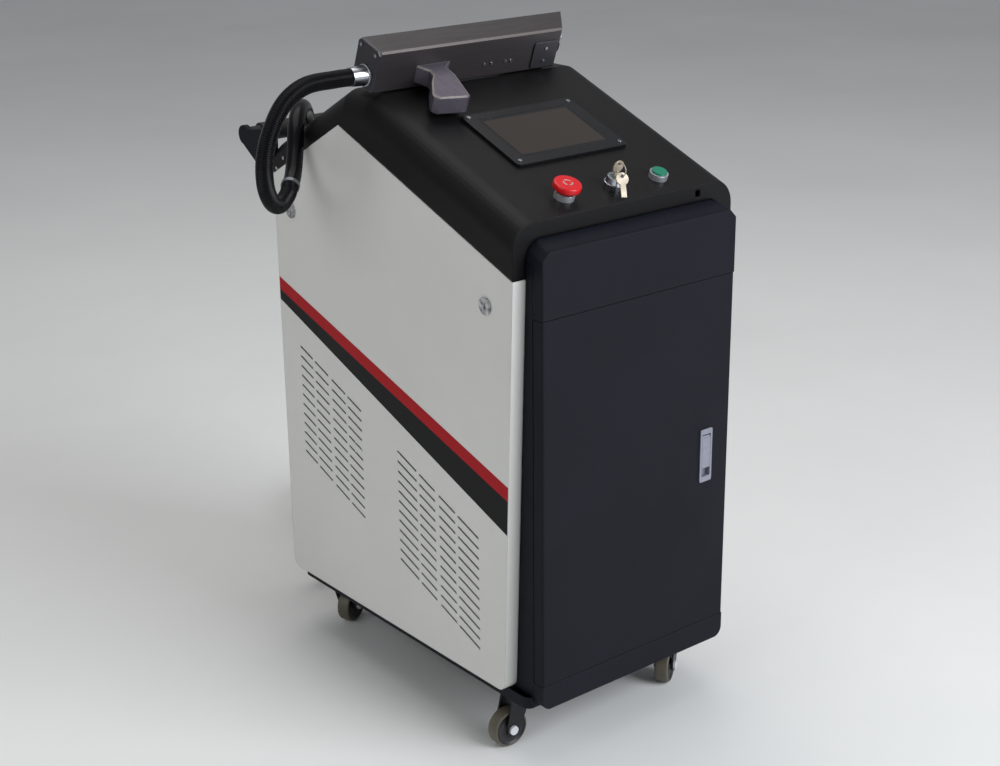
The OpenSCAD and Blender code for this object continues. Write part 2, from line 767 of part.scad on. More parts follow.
module lock_shell() difference() {
    union() {
        translate([seat, 0, 0]) rod_x(lock_flange_r, lock_flange_t - seat);
        translate([-lock_l, 0, 0]) rod_x(lock_hole_r - fit, lock_l + lock_flange_t / 2);
    }
    translate([-lock_l - over, 0, 0]) rod_x(lock_core_r + run_fit, lock_l + lock_flange_t + 2 * over);
}

module lock_housings() color(chrome) both_sides()
    for (p = [front_lock, rear_lock]) at_lock(p) lock_shell();

module lock_core() color(chrome) {
    difference() {
        translate([-lock_l - cam_t, 0, 0]) rod_x(lock_core_r, lock_l + cam_t + lock_flange_t);
        translate([0, -recess_w / 2, -recess_h / 2]) cube([lock_l, recess_w, recess_h]);
    }
    translate([-lock_l - cam_t - fit, -cam_w / 2, -cam_w / 2]) cube([cam_t, cam_w, cam_l]);
}

module lock_left_front() mirror([1, 0, 0]) at_lock(front_lock) lock_core();
module lock_left_rear() mirror([1, 0, 0]) at_lock(rear_lock) lock_core();
module lock_right_front() at_lock(front_lock) lock_core();
module lock_right_rear() at_lock(rear_lock) lock_core();

// Rear panel: a pan with the fan's opening, louvres, and holes for the hose and the inlets
rear_depth = 12;
rear_top = panel_rear_z - seam;
gland_x = 15;
inlet_x = -55;
gas_x = 110;
inlet_z = 150;
gland_neck_r = 16;
inlet_neck_r = 10;
gas_neck_r = 7;
louvre_z = 240;
louvre_rows = 10;

module rear_panel() color(black) difference() {
    translate([-half_core + fit, cab_d - rear_depth, deck_z])
        cube([core_w - 2 * fit, rear_depth, rear_top - deck_z]);
    translate([-half_core + fit + sheet_t, cab_d - rear_depth - over, deck_z + sheet_t])
        cube([core_w - 2 * (fit + sheet_t), rear_depth + over - sheet_t, rear_top - deck_z - 2 * sheet_t]);
    translate([0, cab_d - sheet_t - over, fan_z]) rod_y(fan_d / 2, sheet_t + 2 * over);
    translate([gland_x, cab_d - sheet_t - over, rear_gland_z]) rod_y(gland_neck_r + fit, sheet_t + 2 * over);
    translate([inlet_x, cab_d - sheet_t - over, inlet_z]) rod_y(inlet_neck_r + fit, sheet_t + 2 * over);
    translate([gas_x, cab_d - sheet_t - over, inlet_z]) rod_y(gas_neck_r + fit, sheet_t + 2 * over);
    for (k = [0:louvre_rows - 1])
        translate([-half_core / 2, cab_d - sheet_t - over, louvre_z + k * slot_pitch])
            cube([half_core, sheet_t + 2 * over, slot_w]);
}

// Fan: a square housing behind the opening, a wire guard outside, and a rotor on an axle
fan_wall = 5;
fan_t = 32;
fan_y = cab_d - sheet_t - seat - fan_t;
hub_r = 20;
axle_r = 3;
strut_t = 4;
fan_blades = 7;
blade_t = 2;
blade_turn = 35;
blade_gap = 4;
rotor_t = fan_t * 0.65;
guard_wire = 1.3;
guard_rings = 4;
guard_reach_share = 0.62;

module guard_ring(r) difference() {
    rod_y(r + guard_wire, 1.5 * guard_wire);
    translate([0, -over, 0]) rod_y(r - guard_wire, 1.5 * guard_wire + 2 * over);
}

module fan_housing() {
    color("#1c1c1e") translate([0, fan_y, fan_z]) {
        difference() {
            translate([-fan_d / 2 - fan_wall, 0, -fan_d / 2 - fan_wall])
                cube([fan_d + 2 * fan_wall, fan_t, fan_d + 2 * fan_wall]);
            translate([0, -over, 0]) rod_y(fan_d / 2, fan_t + 2 * over);
        }
        for (a = [45:90:315]) rotate([0, a, 0]) translate([-strut_t / 2, strut_t / 4, 0])
            cube([strut_t, strut_t / 2, fan_d / 2 + fan_wall / 2]);
        rod_y(hub_r, strut_t);
        rod_y(axle_r, fan_t / 2);
    }
    color(chrome) translate([0, cab_d + seat, fan_z]) {
        for (k = [1:guard_rings]) translate([0, guard_wire, 0]) guard_ring(k / guard_rings * fan_d / 2);
        for (a = [45:90:315]) rotate([0, a, 0]) translate([-guard_wire, 0, 0])
            cube([2 * guard_wire, 2 * guard_wire, fan_d * guard_reach_share]);
    }
}

module fan_rotor() color("#26262a") translate([0, fan_y + strut_t + fit, fan_z]) difference() {
    union() {
        rod_y(hub_r, rotor_t);
        for (k = [1:fan_blades]) rotate([0, k * 360 / fan_blades, 0]) translate([0, rotor_t / 2, 0])
            rotate([0, 0, blade_turn]) translate([-blade_t / 2, -rotor_t / 2, 0])
                cube([blade_t, rotor_t, fan_d / 2 - blade_gap]);
    }
    translate([0, -over, 0]) rod_y(axle_r + run_fit, fan_t / 2);
}

// Glands: a neck through the panel, a hexagon, and a domed nut round a bore
gland_in = 8;

module gland_body(neck_r, hex_r, dome_r, out, bore_r) difference() {
    union() {
        translate([0, -sheet_t - gland_in, 0]) rod_y(neck_r, sheet_t + gland_in + out / 2);
        translate([0, seat, 0]) rotate([-90, 0, 0]) cylinder(r = hex_r, h = out * 0.35, $fn = 6);
        translate([0, out * 0.35, 0]) rotate([-90, 0, 0])
            cylinder(r1 = hex_r * 0.85, r2 = dome_r, h = out * 0.65);
    }
    translate([0, -sheet_t - gland_in - over, 0]) rod_y(bore_r, out + sheet_t + gland_in + 2 * over);
}

rear_gland_out = 45;
gland_hex_r = 22;
gland_rim = 2;
hose_wall = 4;
inlet_hex_r = 14;
inlet_out = 30;
gas_hex_r = 10;
gas_out = 24;
nut_wall = 2.5;

module rear_gland() color("#b9bcc2") translate([gland_x, cab_d, rear_gland_z])
    gland_body(gland_neck_r, gland_hex_r, hose_d / 2 + gland_rim, rear_gland_out, hose_d / 2 - hose_wall);

module rear_inlets() color("#b9bcc2") {
    translate([inlet_x, cab_d, inlet_z])
        gland_body(inlet_neck_r, inlet_hex_r, inlet_bore / 2 + nut_wall, inlet_out, inlet_bore / 2);
    translate([gas_x, cab_d, inlet_z])
        gland_body(gas_neck_r, gas_hex_r, gas_bore / 2 + nut_wall, gas_out, gas_bore / 2);
}

// Push handle: two arms with feet on the rear panel, and a bar with a grip between them
bar_y = cab_d + handle_reach;
bar_r = 11;
arm_t = 8;
arm_in = 3;
arm_x = half_cab - arm_in - arm_t;
arm_foot_z = 779;
arm_top_z = 838;
foot_w = 34;
foot_h = 60;
foot_t = 4;
foot_lap = 12;
socket_d = 6;
grip_gap = 22;

module arm_outline() {
    polygon([
        [cab_d + seat, arm_foot_z], [mid(cab_d, bar_y), arm_foot_z - arm_t],
        [bar_y + grip_r * 0.8, bar_z - grip_r * 0.6], [bar_y + grip_r * 0.3, bar_z + grip_r * 0.95],
        [bar_y - grip_r, bar_z + grip_r * 0.7], [cab_d + handle_reach * 0.33, arm_top_z - arm_t / 2],
        [cab_d + seat, arm_top_z]]);
    translate([bar_y, bar_z]) circle(grip_r);
}

module handle_arms() color(black) both_sides() difference() {
    union() {
        along_x(arm_x, arm_t) arm_outline();
        translate([arm_x - foot_w, cab_d + seat, arm_foot_z - foot_h])
            cube([foot_w + arm_t, foot_t, foot_h + foot_lap]);
    }
    translate([arm_x - over, bar_y, bar_z]) rod_x(bar_r, socket_d + over);
}

module handle_bar() color("#1b1b1d") translate([0, bar_y, bar_z]) {
    translate([-arm_x - socket_d, 0, 0]) rod_x(bar_r, 2 * (arm_x + socket_d));
    translate([-arm_x + grip_gap, 0, 0]) rod_x(grip_r - seat, 2 * (arm_x - grip_gap));
}

// Equipment inside: the laser source on the tray, the water tank and power supply on the shelf
laser_l = 400;
laser_w = 270;
laser_h = 95;
fin_t = 3;
fin_h = 22;
fins = 12;

module laser_source() color("#6d7076")
    translate([-laser_w / 2, mid_y - laser_l / 2, tray_z + tray_wall + seat]) {
    cube([laser_w, laser_l, laser_h]);
    for (k = [0:fins - 1]) translate([(k + 0.5) * laser_w / fins, 0, laser_h]) cube([fin_t, laser_l, fin_h]);
}

tank_w = 150;
tank_h = 190;
tank_wall = 4;
cap_r = 24;
pump_r = 26;
inside_gap = 15;

module water_tank() color("#cfd6da")
    translate([-tank_w + inside_gap, post_rear_y - post_w - inside_gap - tank_w, shelf_z + seat])
    difference() {
        union() {
            cube([tank_w, tank_w, tank_h]);
            translate([tank_w / 2, tank_w / 2, tank_h]) cylinder(r = cap_r, h = cap_r);
            translate([tank_w, tank_w / 2, pump_r]) rod_x(pump_r, 2 * pump_r);
        }
        translate([tank_wall, tank_wall, tank_wall])
            cube([tank_w - 2 * tank_wall, tank_w - 2 * tank_wall, tank_h - 2 * tank_wall]);
    }

supply_w = 120;
supply_l = 200;
supply_h = 62;
board_t = 8;
supply_slots = 8;
supply_slot_w = 6;

module power_supply() color("#9aa0a6")
    translate([-supply_w - inside_gap / 2, post_front_y + post_w + inside_gap, shelf_z + seat]) {
        difference() {
            cube([supply_w, supply_l, supply_h]);
            for (k = [1:supply_slots])
                translate([-over, k * supply_l / (supply_slots + 1), supply_h / 4])
                    cube([supply_slot_w, supply_slot_w, supply_h / 2]);
        }
        translate([supply_w + inside_gap, 0, 0]) cube([supply_w, supply_l, board_t]);
        for (k = [0:3], m = [0, 1])
            translate([supply_w + inside_gap * 2 + m * supply_w / 2, (k + 0.3) * supply_l / 4, 0])
                cube([supply_w / 4, supply_l / 8, supply_h / (m + 2)]);
    }

// Gun: a straight housing that lies on the top with its grip hanging over the console
module on_gun() on_console(0, gun_y) translate([0, 0, seat]) children();

rest_l = 60;

module gun_rest() color("#1b1b1d") for (s = [-1, 1]) difference() {
    translate([s * gun_l / 3 - rest_l / 2, gun_y + gun_d / 3, top_z + seat])
        cube([rest_l, gun_d * 0.6, gun_d * sin(console_angle)]);
    on_gun() translate([-gun_l, -gun_d, -seat]) cube([2 * gun_l, 3 * gun_d, gun_h]);
}

gun_plan = [[gun_x, 0], [gun_x + gun_l, 0], [gun_x + gun_l + gun_skew, gun_d], [gun_x, gun_d]];
muzzle_turn = -atan(gun_skew / gun_d);
neck_r = 10;

// Stands children on the middle of the oblique end face, with X pointing out of it
module at_muzzle() translate([gun_x + gun_l + gun_skew / 2, gun_d / 2, gun_h / 2])
    rotate([0, 0, muzzle_turn]) children();

module gun_body() color(gun_grey) on_gun() difference() {
    linear_extrude(gun_h) polygon(gun_plan);
    translate([0, 0, gun_wall]) linear_extrude(gun_h - 2 * gun_wall) polygon(inset(gun_plan, gun_wall));
    for (y = [0, gun_d], z = [0, gun_h]) translate([0, y, z]) rotate([45, 0, 0])
        cube([3 * gun_l, gun_chamfer * sqrt(2), gun_chamfer * sqrt(2)], center = true);
    translate([gun_x - over, gland_s, gland_up]) rod_x(neck_r + fit, gun_wall + 2 * over);
    at_muzzle() translate([-2 * gun_wall, 0, 0]) rod_x(window_d / 2, 3 * gun_wall);
}

plate_t = 4;
plate_chamfer = 7;
cover_w = 46;
cover_h = 42;
lid_t = 2.5;
lid_r = 5;
lid_up = 5;

module gun_plates() color("#3a3a3e") on_gun() {
    difference() {
        translate([gun_x - plate_t, 0, 0]) cube([plate_t, gun_d, gun_h]);
        for (y = [0, gun_d], z = [0, gun_h]) translate([gun_x, y, z]) rotate([45, 0, 0])
            cube([3 * plate_t, plate_chamfer, plate_chamfer], center = true);
        translate([gun_x - plate_t - over, gland_s, gland_up]) rod_x(neck_r + fit, plate_t + 2 * over);
    }
    along_y(-lid_t - seat, lid_t) translate([gun_x + gun_l - gun_wall - cover_w / 2, lid_up + cover_h / 2])
        rounded_rect(cover_w, cover_h, lid_r);
}

// Points of the grip's outline as shares of its width and length, from its root to its heel
grip_outline_shares = [
    [0.30, 0], [0.437, 0.177], [0.41, 0.30], [0.264, 0.448], [0.023, 0.77], [0, 0.85], [0.06, 0.93],
    [0.55, 1], [0.62, 0.97], [0.805, 0.37], [0.805, 0.15], [1, 0]];
grip_x = gun_x + gun_l * 0.118;
grip_edge = 1.5;
trigger_w = 16;
trigger_t = 12;
trigger_in = 9;
trigger_out = trigger_travel + fit;
trigger_x = grip_x + 0.805 * grip_w;
trigger_s = -0.18 * grip_l;

module grip_outline() polygon([for (s = grip_outline_shares)
    [grip_x + s[0] * grip_w, -s[1] * grip_l - seat]]);

module gun_grip() color(gun_grey) on_gun() translate([0, 0, grip_up]) difference() {
    union() {
        translate([0, 0, grip_edge]) linear_extrude(grip_t - 2 * grip_edge) grip_outline();
        linear_extrude(grip_t) intersection() {
            translate([grip_edge, 0]) grip_outline();
            translate([-grip_edge, 0]) grip_outline();
            translate([0, grip_edge]) grip_outline();
            grip_outline();
        }
    }
    translate([trigger_x - trigger_in, trigger_s - trigger_w - fit, (grip_t - trigger_t) / 2 - fit])
        cube([trigger_in + trigger_out, trigger_w + 2 * fit, trigger_t + 2 * fit]);
}

module gun_trigger() color("#26262a") on_gun()
    translate([trigger_x - trigger_in + trigger_out, trigger_s - trigger_w,
        grip_up + (grip_t - trigger_t) / 2])
        cube([trigger_in, trigger_w, trigger_t]);

window_rim = 4;

module gun_window() on_gun() at_muzzle() {
    color(chrome) difference() {
        translate([seat, 0, 0]) rod_x(window_d / 2 + window_rim, window_rim);
        translate([-over, 0, 0]) rod_x(window_d / 2, window_rim + 2 * over);
    }
    color("#7fa6c9") translate([seat, 0, 0]) rod_x(window_d / 2 - run_fit, window_rim / 2);
}

gland_flange_r = 16;
flange_t = 4;
gland_out = 28;

// The gun's gland stands on the end plate, and the hose starts at its outer face
module gun_gland() color(chrome) on_gun() translate([gun_x - plate_t, gland_s, gland_up]) difference() {
    rotate([0, -90, 0]) {
        cylinder(r = gland_flange_r, h = flange_t);
        cylinder(r1 = gland_flange_r - gland_rim / 2, r2 = hose_d / 2 + gland_rim / 2, h = gland_out);
        translate([0, 0, -plate_t - gun_wall]) cylinder(r = neck_r, h = plate_t + gun_wall + flange_t);
    }
    translate([-gland_out - over, 0, 0])
        rod_x(hose_d / 2 - hose_wall, gland_out + plate_t + gun_wall + 2 * over);
}

// Small screws: on the display, the gun, the feet of the push handle and the cover's sides
small_r = 2.6;
small_h = 1.5;
plate_in = 8;
screw_step_y = 20.5;
screw_step_z = 19;
low_screw_in = 11;
low_screw_up = 10.5;
side_screws = [for (k = [0, 1])
    [cab_d - low_screw_in - k * screw_step_y, rear_top + low_screw_up + k * screw_step_z]];
gun_screw_shares = [0.58, 0.62, 0.70, 0.73];
gun_screw_up = 23;

module panel_screws() color(chrome) {
    on_console(0, hmi_y) hmi_corners() translate([0, 0, seat]) cylinder(r = screw_r, h = screw_h);
    on_gun() {
        for (y = [plate_in, gun_d - plate_in], z = [plate_in, gun_h - plate_in])
            if (z > gland_up || y > gland_s) translate([gun_x - plate_t - small_h - seat, y, z])
                rod_x(small_r, small_h);
        for (z = [cover_h * 0.25, cover_h * 0.75])
            translate([gun_x + gun_l - gun_wall - cover_w / 2, -lid_t - small_h - 2 * seat, lid_up + z])
                rod_y(small_r, small_h);
        for (s = gun_screw_shares) translate([gun_x + s * gun_l, -small_h - seat, gun_screw_up])
            rod_y(small_r, small_h);
    }
    both_sides() {
        for (k = [0.2, 0.6]) translate([arm_x - foot_w / 2, cab_d + foot_t + 2 * seat,
            arm_foot_z - foot_h * (k + 0.1)])
            rod_y(2 * small_r, small_h);
        for (p = side_screws) translate([half_cab + seat, p[0], p[1]]) rod_x(small_r, small_h);
    }
}

// Casters: a plate with a king pin, a swivelling fork, and a wheel on the fork's axle
plate_w = 62;
caster_plate_t = 3;
fork_t = 3;
fork_gap = 5;
swivel_r = 24;
king_r = 5;
king_head = 3;
crown_z = tray_z - caster_plate_t - fork_gap - fork_t;
axle_z = wheel_d / 2;
axle_bolt_r = 4;
bolt_head_r = 7;
cheek_gap = 1;
cheek_y = wheel_w / 2 + cheek_gap;

// Heading of each caster's trail in degrees, counted from +X towards +Y
headings = [178, 213, 25, 160];
swivels = [[-1, caster_front_y], [1, caster_front_y], [-1, caster_rear_y], [1, caster_rear_y]];

module at_caster(k) translate([swivels[k][0] * caster_x, swivels[k][1], 0])
    rotate([0, 0, headings[k]]) children();

module caster_plates() color("#3b3c40") for (w = swivels) translate([w[0] * caster_x, w[1], 0]) {
    translate([0, 0, tray_z - caster_plate_t - seat]) linear_extrude(caster_plate_t)
        square(plate_w, center = true);
    translate([0, 0, crown_z - fit - king_head]) {
        cylinder(r = king_r, h = tray_z - caster_plate_t / 2 - crown_z + king_head);
        cylinder(r = king_r + king_head, h = king_head);
    }
}

// Points of a fork's cheek as shares of the trail and of the height from axle to crown
cheek_shares = [[-0.4, 1.06], [0.6, -0.15], [1, -0.25], [1.4, -0.1], [1.4, 0.2], [1, 1.06]];

module cheek() along_y(0, fork_t)
    polygon([for (s = cheek_shares) [s[0] * trail, axle_z + s[1] * (crown_z - axle_z)]]);

module fork() color("#46474c") {
    difference() {
        union() {
            translate([0, 0, crown_z]) cylinder(r = swivel_r, h = fork_t + fork_gap - fit);
            translate([0, -cheek_y - fork_t, crown_z]) cube([trail, 2 * (cheek_y + fork_t), fork_t]);
        }
        translate([0, 0, crown_z - over]) cylinder(r = king_r + run_fit, h = fork_t + fork_gap + 2 * over);
    }
    translate([0, cheek_y, 0]) cheek();
    translate([0, -cheek_y - fork_t, 0]) cheek();
    translate([trail, -cheek_y - fork_t, axle_z]) rod_y(axle_bolt_r, 2 * (cheek_y + fork_t));
    for (y = [-cheek_y - 2 * fork_t, cheek_y + fork_t])
        translate([trail, y, axle_z]) rod_y(bolt_head_r, fork_t);
}

tyre_t = 9;
tyre_r = 3;
hub_out_r = 9;
hub_in = 2;

module wheel() color("#4b3c35") translate([trail, -wheel_w / 2, axle_z]) difference() {
    rotate([-90, 0, 0]) rotate_extrude() {
        square([wheel_d / 2 - tyre_r, wheel_w]);
        translate([0, tyre_r]) square([wheel_d / 2, wheel_w - 2 * tyre_r]);
        for (v = [tyre_r, wheel_w - tyre_r]) translate([wheel_d / 2 - tyre_r, v]) circle(tyre_r);
    }
    for (y = [-over, wheel_w - hub_in]) translate([0, y, 0]) difference() {
        rod_y(wheel_d / 2 - tyre_t, hub_in + over);
        translate([0, -over, 0]) rod_y(hub_out_r, hub_in + 3 * over);
    }
    translate([0, -over, 0]) rod_y(axle_bolt_r + run_fit, wheel_w + 2 * over);
}

module caster_fork_fl() at_caster(0) fork();
module caster_fork_fr() at_caster(1) fork();
module caster_fork_rl() at_caster(2) fork();
module caster_fork_rr() at_caster(3) fork();
module caster_wheel_fl() at_caster(0) wheel();
module caster_wheel_fr() at_caster(1) wheel();
module caster_wheel_rl() at_caster(2) wheel();
module caster_wheel_rr() at_caster(3) wheel();

// Hose route in the machine's own frame: from the gun's gland round the left side, over the
// shoulder, through the push handle and down to the floor, where the coil starts
route = [
    [-216, 18, 951], [-241, 18, 951], [-290, 15, 949], [-327, 11, 932], [-352, 9, 900],
    [-364, 12, 860], [-359, 23, 820], [-339, 43, 789], [-310, 70, 773], [-278, 99, 776],
    [-262, 114, 786], [-246, 130, 798], [-227, 152, 824], [-210, 174, 853], [-191, 196, 869],
    [-169, 221, 873], [-148, 246, 865], [-130, 267, 845], [-118, 282, 815], [-112, 290, 775],
    [-112, 290, 735], [-112, 300, 640], [-112, 312, 520], [-112, 325, 400], [-112, 338, 280],
    [-112, 349, 160], [-112, 352, 110], [-99, 352, 62], [-64, 352, 28], [-17, 352, 15],
    [40, 352, 15], [100, 352, 15], [155, 352, 15]];
// The sleeve ends and the clamp ring sits at this point of the route
sleeve_end = 10;
// The route from the coil up to the rear gland
tail_route = [
    [15, 498.5, 41], [15, 465, 47], [15, 436, 64], [15, 412, 85], [15, 387, 107], [15, 358, 124],
    [15, 325, 130], [15, 300, 130]];

function ghost(p, i) = i < 0 ? 2 * p[0] - p[1]
    : i >= len(p) ? 2 * p[len(p) - 1] - p[len(p) - 2] : p[i];

// The point at t of the way along piece i of a smooth curve through the points of p
function on_piece(p, i, t) = let (a = ghost(p, i - 1), b = p[i], c = ghost(p, i + 1), d = ghost(p, i + 2))
    (2 * b + (c - a) * t + (2 * a - 5 * b + 4 * c - d) * t * t + (3 * b - a - 3 * c + d) * t * t * t) / 2;
function on_route(p, s) = let (i = min(floor(s), len(p) - 2)) on_piece(p, i, s - i);
function route_heading(p, s) = let (e = 0.01)
    unit(on_route(p, min(s + e, len(p) - 1)) - on_route(p, max(s - e, 0)));

// A table from length along the route to place in its list, and evenly spaced places by it
steps_per_piece = 8;
function length_table(p, first, last) = let (n = (last - first) * steps_per_piece)
    [for (i = 0, l = 0; i <= n;
        l = l + norm(on_route(p, first + (i + 1) / steps_per_piece)
            - on_route(p, first + i / steps_per_piece)),
        i = i + 1) [l, first + i / steps_per_piece]];
function even_places(p, first, last, n) = let (t = length_table(p, first, last), l = t[len(t) - 1][0])
    [for (i = [0:n]) i == n ? last : lookup(l * i / n, t)];

// The corners of one ring of a tube: square to its heading, turned from a reference direction
function ring(centre, heading, ref, r, sides) = let (u = unit(cross(heading, ref)), v = cross(u, heading))
    [for (k = [0:sides - 1]) centre + r * (cos(360 * k / sides) * u + sin(360 * k / sides) * v)];

function side_faces(n, a, b) = [for (k = [0:n - 1])
    [a * n + k, a * n + (k + 1) % n, b * n + (k + 1) % n, b * n + k]];

// A closed tube through a list of rings
module tube(rings) let (n = len(rings[0]), m = len(rings)) polyhedron(
    [for (r = rings) each r],
    concat([[for (k = [n - 1:-1:0]) k]], [[for (k = [0:n - 1]) (m - 1) * n + k]],
        [for (i = [0:m - 2]) each side_faces(n, i, i + 1)]));

// A tube with a bore: its outer rings forwards and its inner rings back
module bored_tube(rings) let (n = len(rings[0]), m = len(rings)) polyhedron(
    [for (r = rings) each r], [for (i = [0:m - 1]) each side_faces(n, i, (i + 1) % m)]);

sleeve_sides = 8;
free_sides = 12;
coil_sides = 6;
bore_rings = 40;
free_rings = 72;
tail_rings = 18;
sideways = [0, 1, 0];

module hose_sleeve() color("#1f1f22") let (
    outer = even_places(route, 0, sleeve_end, 2 * ribs),
    inner = even_places(route, 0, sleeve_end, bore_rings))
    bored_tube(concat(
        [for (i = [0:2 * ribs]) ring(on_route(route, outer[i]), route_heading(route, outer[i]), sideways,
            hose_d / 2 - (i % 2) * rib_h, sleeve_sides)],
        [for (i = [bore_rings:-1:0]) ring(on_route(route, inner[i]), route_heading(route, inner[i]), sideways,
            sleeve_bore / 2, sleeve_sides)]));

clamp_l = 6;
clamp_t = 1.5;
clamp_bite = 0.2;

// Turns children from +Z to a heading
module towards(h) rotate([0, acos(h[2]), atan2(h[1], h[0])]) children();

module hose_ring() color("#8b8e94") translate(route[sleeve_end]) towards(route_heading(route, sleeve_end))
    translate([0, 0, -clamp_l / 2]) difference() {
        cylinder(r = hose_d / 2 + clamp_t, h = clamp_l);
        translate([0, 0, -over]) cylinder(r = hose_d / 2 - clamp_bite, h = clamp_l + 2 * over);
    }

module hose_free() color("#202023") tube(
    [for (s = even_places(route, sleeve_end, len(route) - 1, free_rings))
        ring(on_route(route, s), route_heading(route, s), sideways, hose_d / 2, free_sides)]);

// The tail starts square to the coil's straight end
coil_end_heading = [0, -1, 0];

module hose_tail() color("#202023") tube(
    [for (s = even_places(tail_route, 0, len(tail_route) - 1, tail_rings))
        ring(on_route(tail_route, s), s == 0 ? coil_end_heading : route_heading(tail_route, s), [1, 0, 0],
            hose_d / 2, free_sides)]);

// Coil on the floor: it winds in on the lower layer, climbs in the half turn where the
// spiral reverses, and winds out on the upper layer, with a straight end on both sides
loop_rings = 24;
turns_in = 1.5;
turns_out = 1.25;
loop_pitch = hose_d + loop_gap;
coil_start = route[len(route) - 1];
function coil_radius(t) = coil_r + loop_pitch * abs(t);
coil_centre = coil_start + [hose_d, coil_radius(turns_in), 0];
function climb(t) = let (s = min(max(2 * t + 0.5, 0), 1)) s * s * (3 - 2 * s);
function coil_heading(t) = let (a = 360 * (t + turns_in)) [cos(a), sin(a), 0];
function on_coil(t) = let (h = coil_heading(t))
    coil_centre + [coil_radius(t) * h[1], -coil_radius(t) * h[0], loop_pitch * climb(t)];
function coil_ring(centre, t) = ring(centre, coil_heading(t), [0, 0, 1], hose_d / 2, coil_sides);
coil_steps = (turns_in + turns_out) * loop_rings;
coil_rings = concat([coil_ring(coil_start, -turns_in)],
    [for (i = [0:coil_steps]) let (t = i / loop_rings - turns_in) coil_ring(on_coil(t), t)],
    [coil_ring(on_coil(turns_out) + hose_d * coil_heading(turns_out), turns_out)]);

module hose_coil() {
    gaps = [for (i = [0:coil_steps], j = [i + loop_rings / 2:coil_steps])
        for (a = coil_rings[i], b = coil_rings[j]) norm(a - b)];
    echo(least_gap_of_the_coil = min(gaps));
    color("#202023") tube(coil_rings);
}

// Tie: a band round the coil's tubes at the side of the coil
tie_place = -turns_in + 0.25;
tie_w = 14;
tie_t = 1.2;
function in_section(t) = [coil_radius(t), coil_start[2] + loop_pitch * climb(t)];
bundle = [in_section(tie_place + 1), in_section(tie_place), in_section(tie_place + 2)];
function outset(d) = [for (i = [0:2]) inward(bundle, i, -d)];

module tie_outline(d) rounded(outset(hose_d / 2 + d), [for (p = bundle) hose_d / 2 + d]);

module coil_tie() color("#3a3a3d") translate([coil_centre[0], coil_centre[1], 0])
    along_y(-tie_w / 2, tie_w) difference() {
        tie_outline(fit + tie_t);
        tie_outline(fit);
    }

placed() base_tray();
placed() inner_frame();
placed() front_frame();
placed() front_fascia();
placed() front_skirt();
placed() left_side_panel();
placed() right_side_panel();
placed() side_stripes();
placed() top_cover();
placed() rear_panel();
placed() hmi_bezel();
placed() hmi_glass();
placed() estop_collar();
placed() key_barrel();
placed() start_bezel();
placed() panel_screws();
placed() lock_housings();
placed() fan_housing();
placed() handle_arms();
placed() handle_bar();
placed() rear_gland();
placed() rear_inlets();
placed() laser_source();
placed() water_tank();
placed() power_supply();
placed() gun_rest();
placed() gun_body();
placed() gun_plates();
placed() gun_grip();
placed() gun_window();
placed() gun_gland();
placed() caster_plates();
placed() door_panel();
placed() door_pins();
placed() latch_plate();
placed() latch_paddle();
placed() estop_head();
placed() start_button();
placed() key_rotor();
placed() key_set();
placed() lock_left_front();
placed() lock_left_rear();
placed() lock_right_front();
placed() lock_right_rear();
placed() fan_rotor();
placed() gun_trigger();
placed() caster_fork_fl();
placed() caster_fork_fr();
placed() caster_fork_rl();
placed() caster_fork_rr();
placed() caster_wheel_fl();
placed() caster_wheel_fr();
placed() caster_wheel_rl();
placed() caster_wheel_rr();
hose_sleeve();
hose_ring();
hose_free();
hose_coil();
hose_tail();
coil_tie();
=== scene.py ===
import json
import math

import bpy
import numpy as np
from mathutils import Matrix, Vector


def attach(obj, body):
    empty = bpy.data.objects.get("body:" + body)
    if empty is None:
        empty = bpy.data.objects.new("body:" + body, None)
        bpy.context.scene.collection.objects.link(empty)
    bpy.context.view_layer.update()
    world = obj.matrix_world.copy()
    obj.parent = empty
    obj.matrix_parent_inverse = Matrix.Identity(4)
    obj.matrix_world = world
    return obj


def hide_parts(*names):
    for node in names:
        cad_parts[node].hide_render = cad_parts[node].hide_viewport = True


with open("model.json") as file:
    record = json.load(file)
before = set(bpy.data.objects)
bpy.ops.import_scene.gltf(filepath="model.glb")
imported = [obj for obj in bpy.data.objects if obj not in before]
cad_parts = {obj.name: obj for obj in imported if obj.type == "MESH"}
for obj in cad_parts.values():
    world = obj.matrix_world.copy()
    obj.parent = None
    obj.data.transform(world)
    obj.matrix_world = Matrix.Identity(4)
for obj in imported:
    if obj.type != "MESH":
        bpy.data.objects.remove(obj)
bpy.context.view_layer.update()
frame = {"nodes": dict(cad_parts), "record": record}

# Camera
# A standing person's view of the machine's front left corner, from the photograph's own place,
# turn, tilt and lens.
view_turn, view_tilt, view_roll = np.radians([-38.88, 20.06, -0.6])
view_place = (-1.5916, -2.0168, 1.3870)
focal_pixels, picture_pixels = 1749.06, 1000
film_width = 36
away = np.array([math.sin(view_turn) * math.cos(view_tilt), -math.cos(view_turn) * math.cos(view_tilt),
                 math.sin(view_tilt)])
level = np.cross(-away, [0, 0, 1])
level /= np.linalg.norm(level)
upright = np.cross(away, level)
across = math.cos(view_roll) * level + math.sin(view_roll) * upright
upward = math.cos(view_roll) * upright - math.sin(view_roll) * level
camera = bpy.data.objects.new("camera", bpy.data.cameras.new("camera"))
camera.data.sensor_width = film_width
camera.data.lens = focal_pixels / picture_pixels * film_width
camera.matrix_world = Matrix([[across[i], upward[i], away[i], view_place[i]] for i in range(3)]
                             + [[0, 0, 0, 1]])
bpy.context.scene.collection.objects.link(camera)
bpy.context.scene.camera = camera
bpy.context.scene.view_settings.view_transform = "Standard"


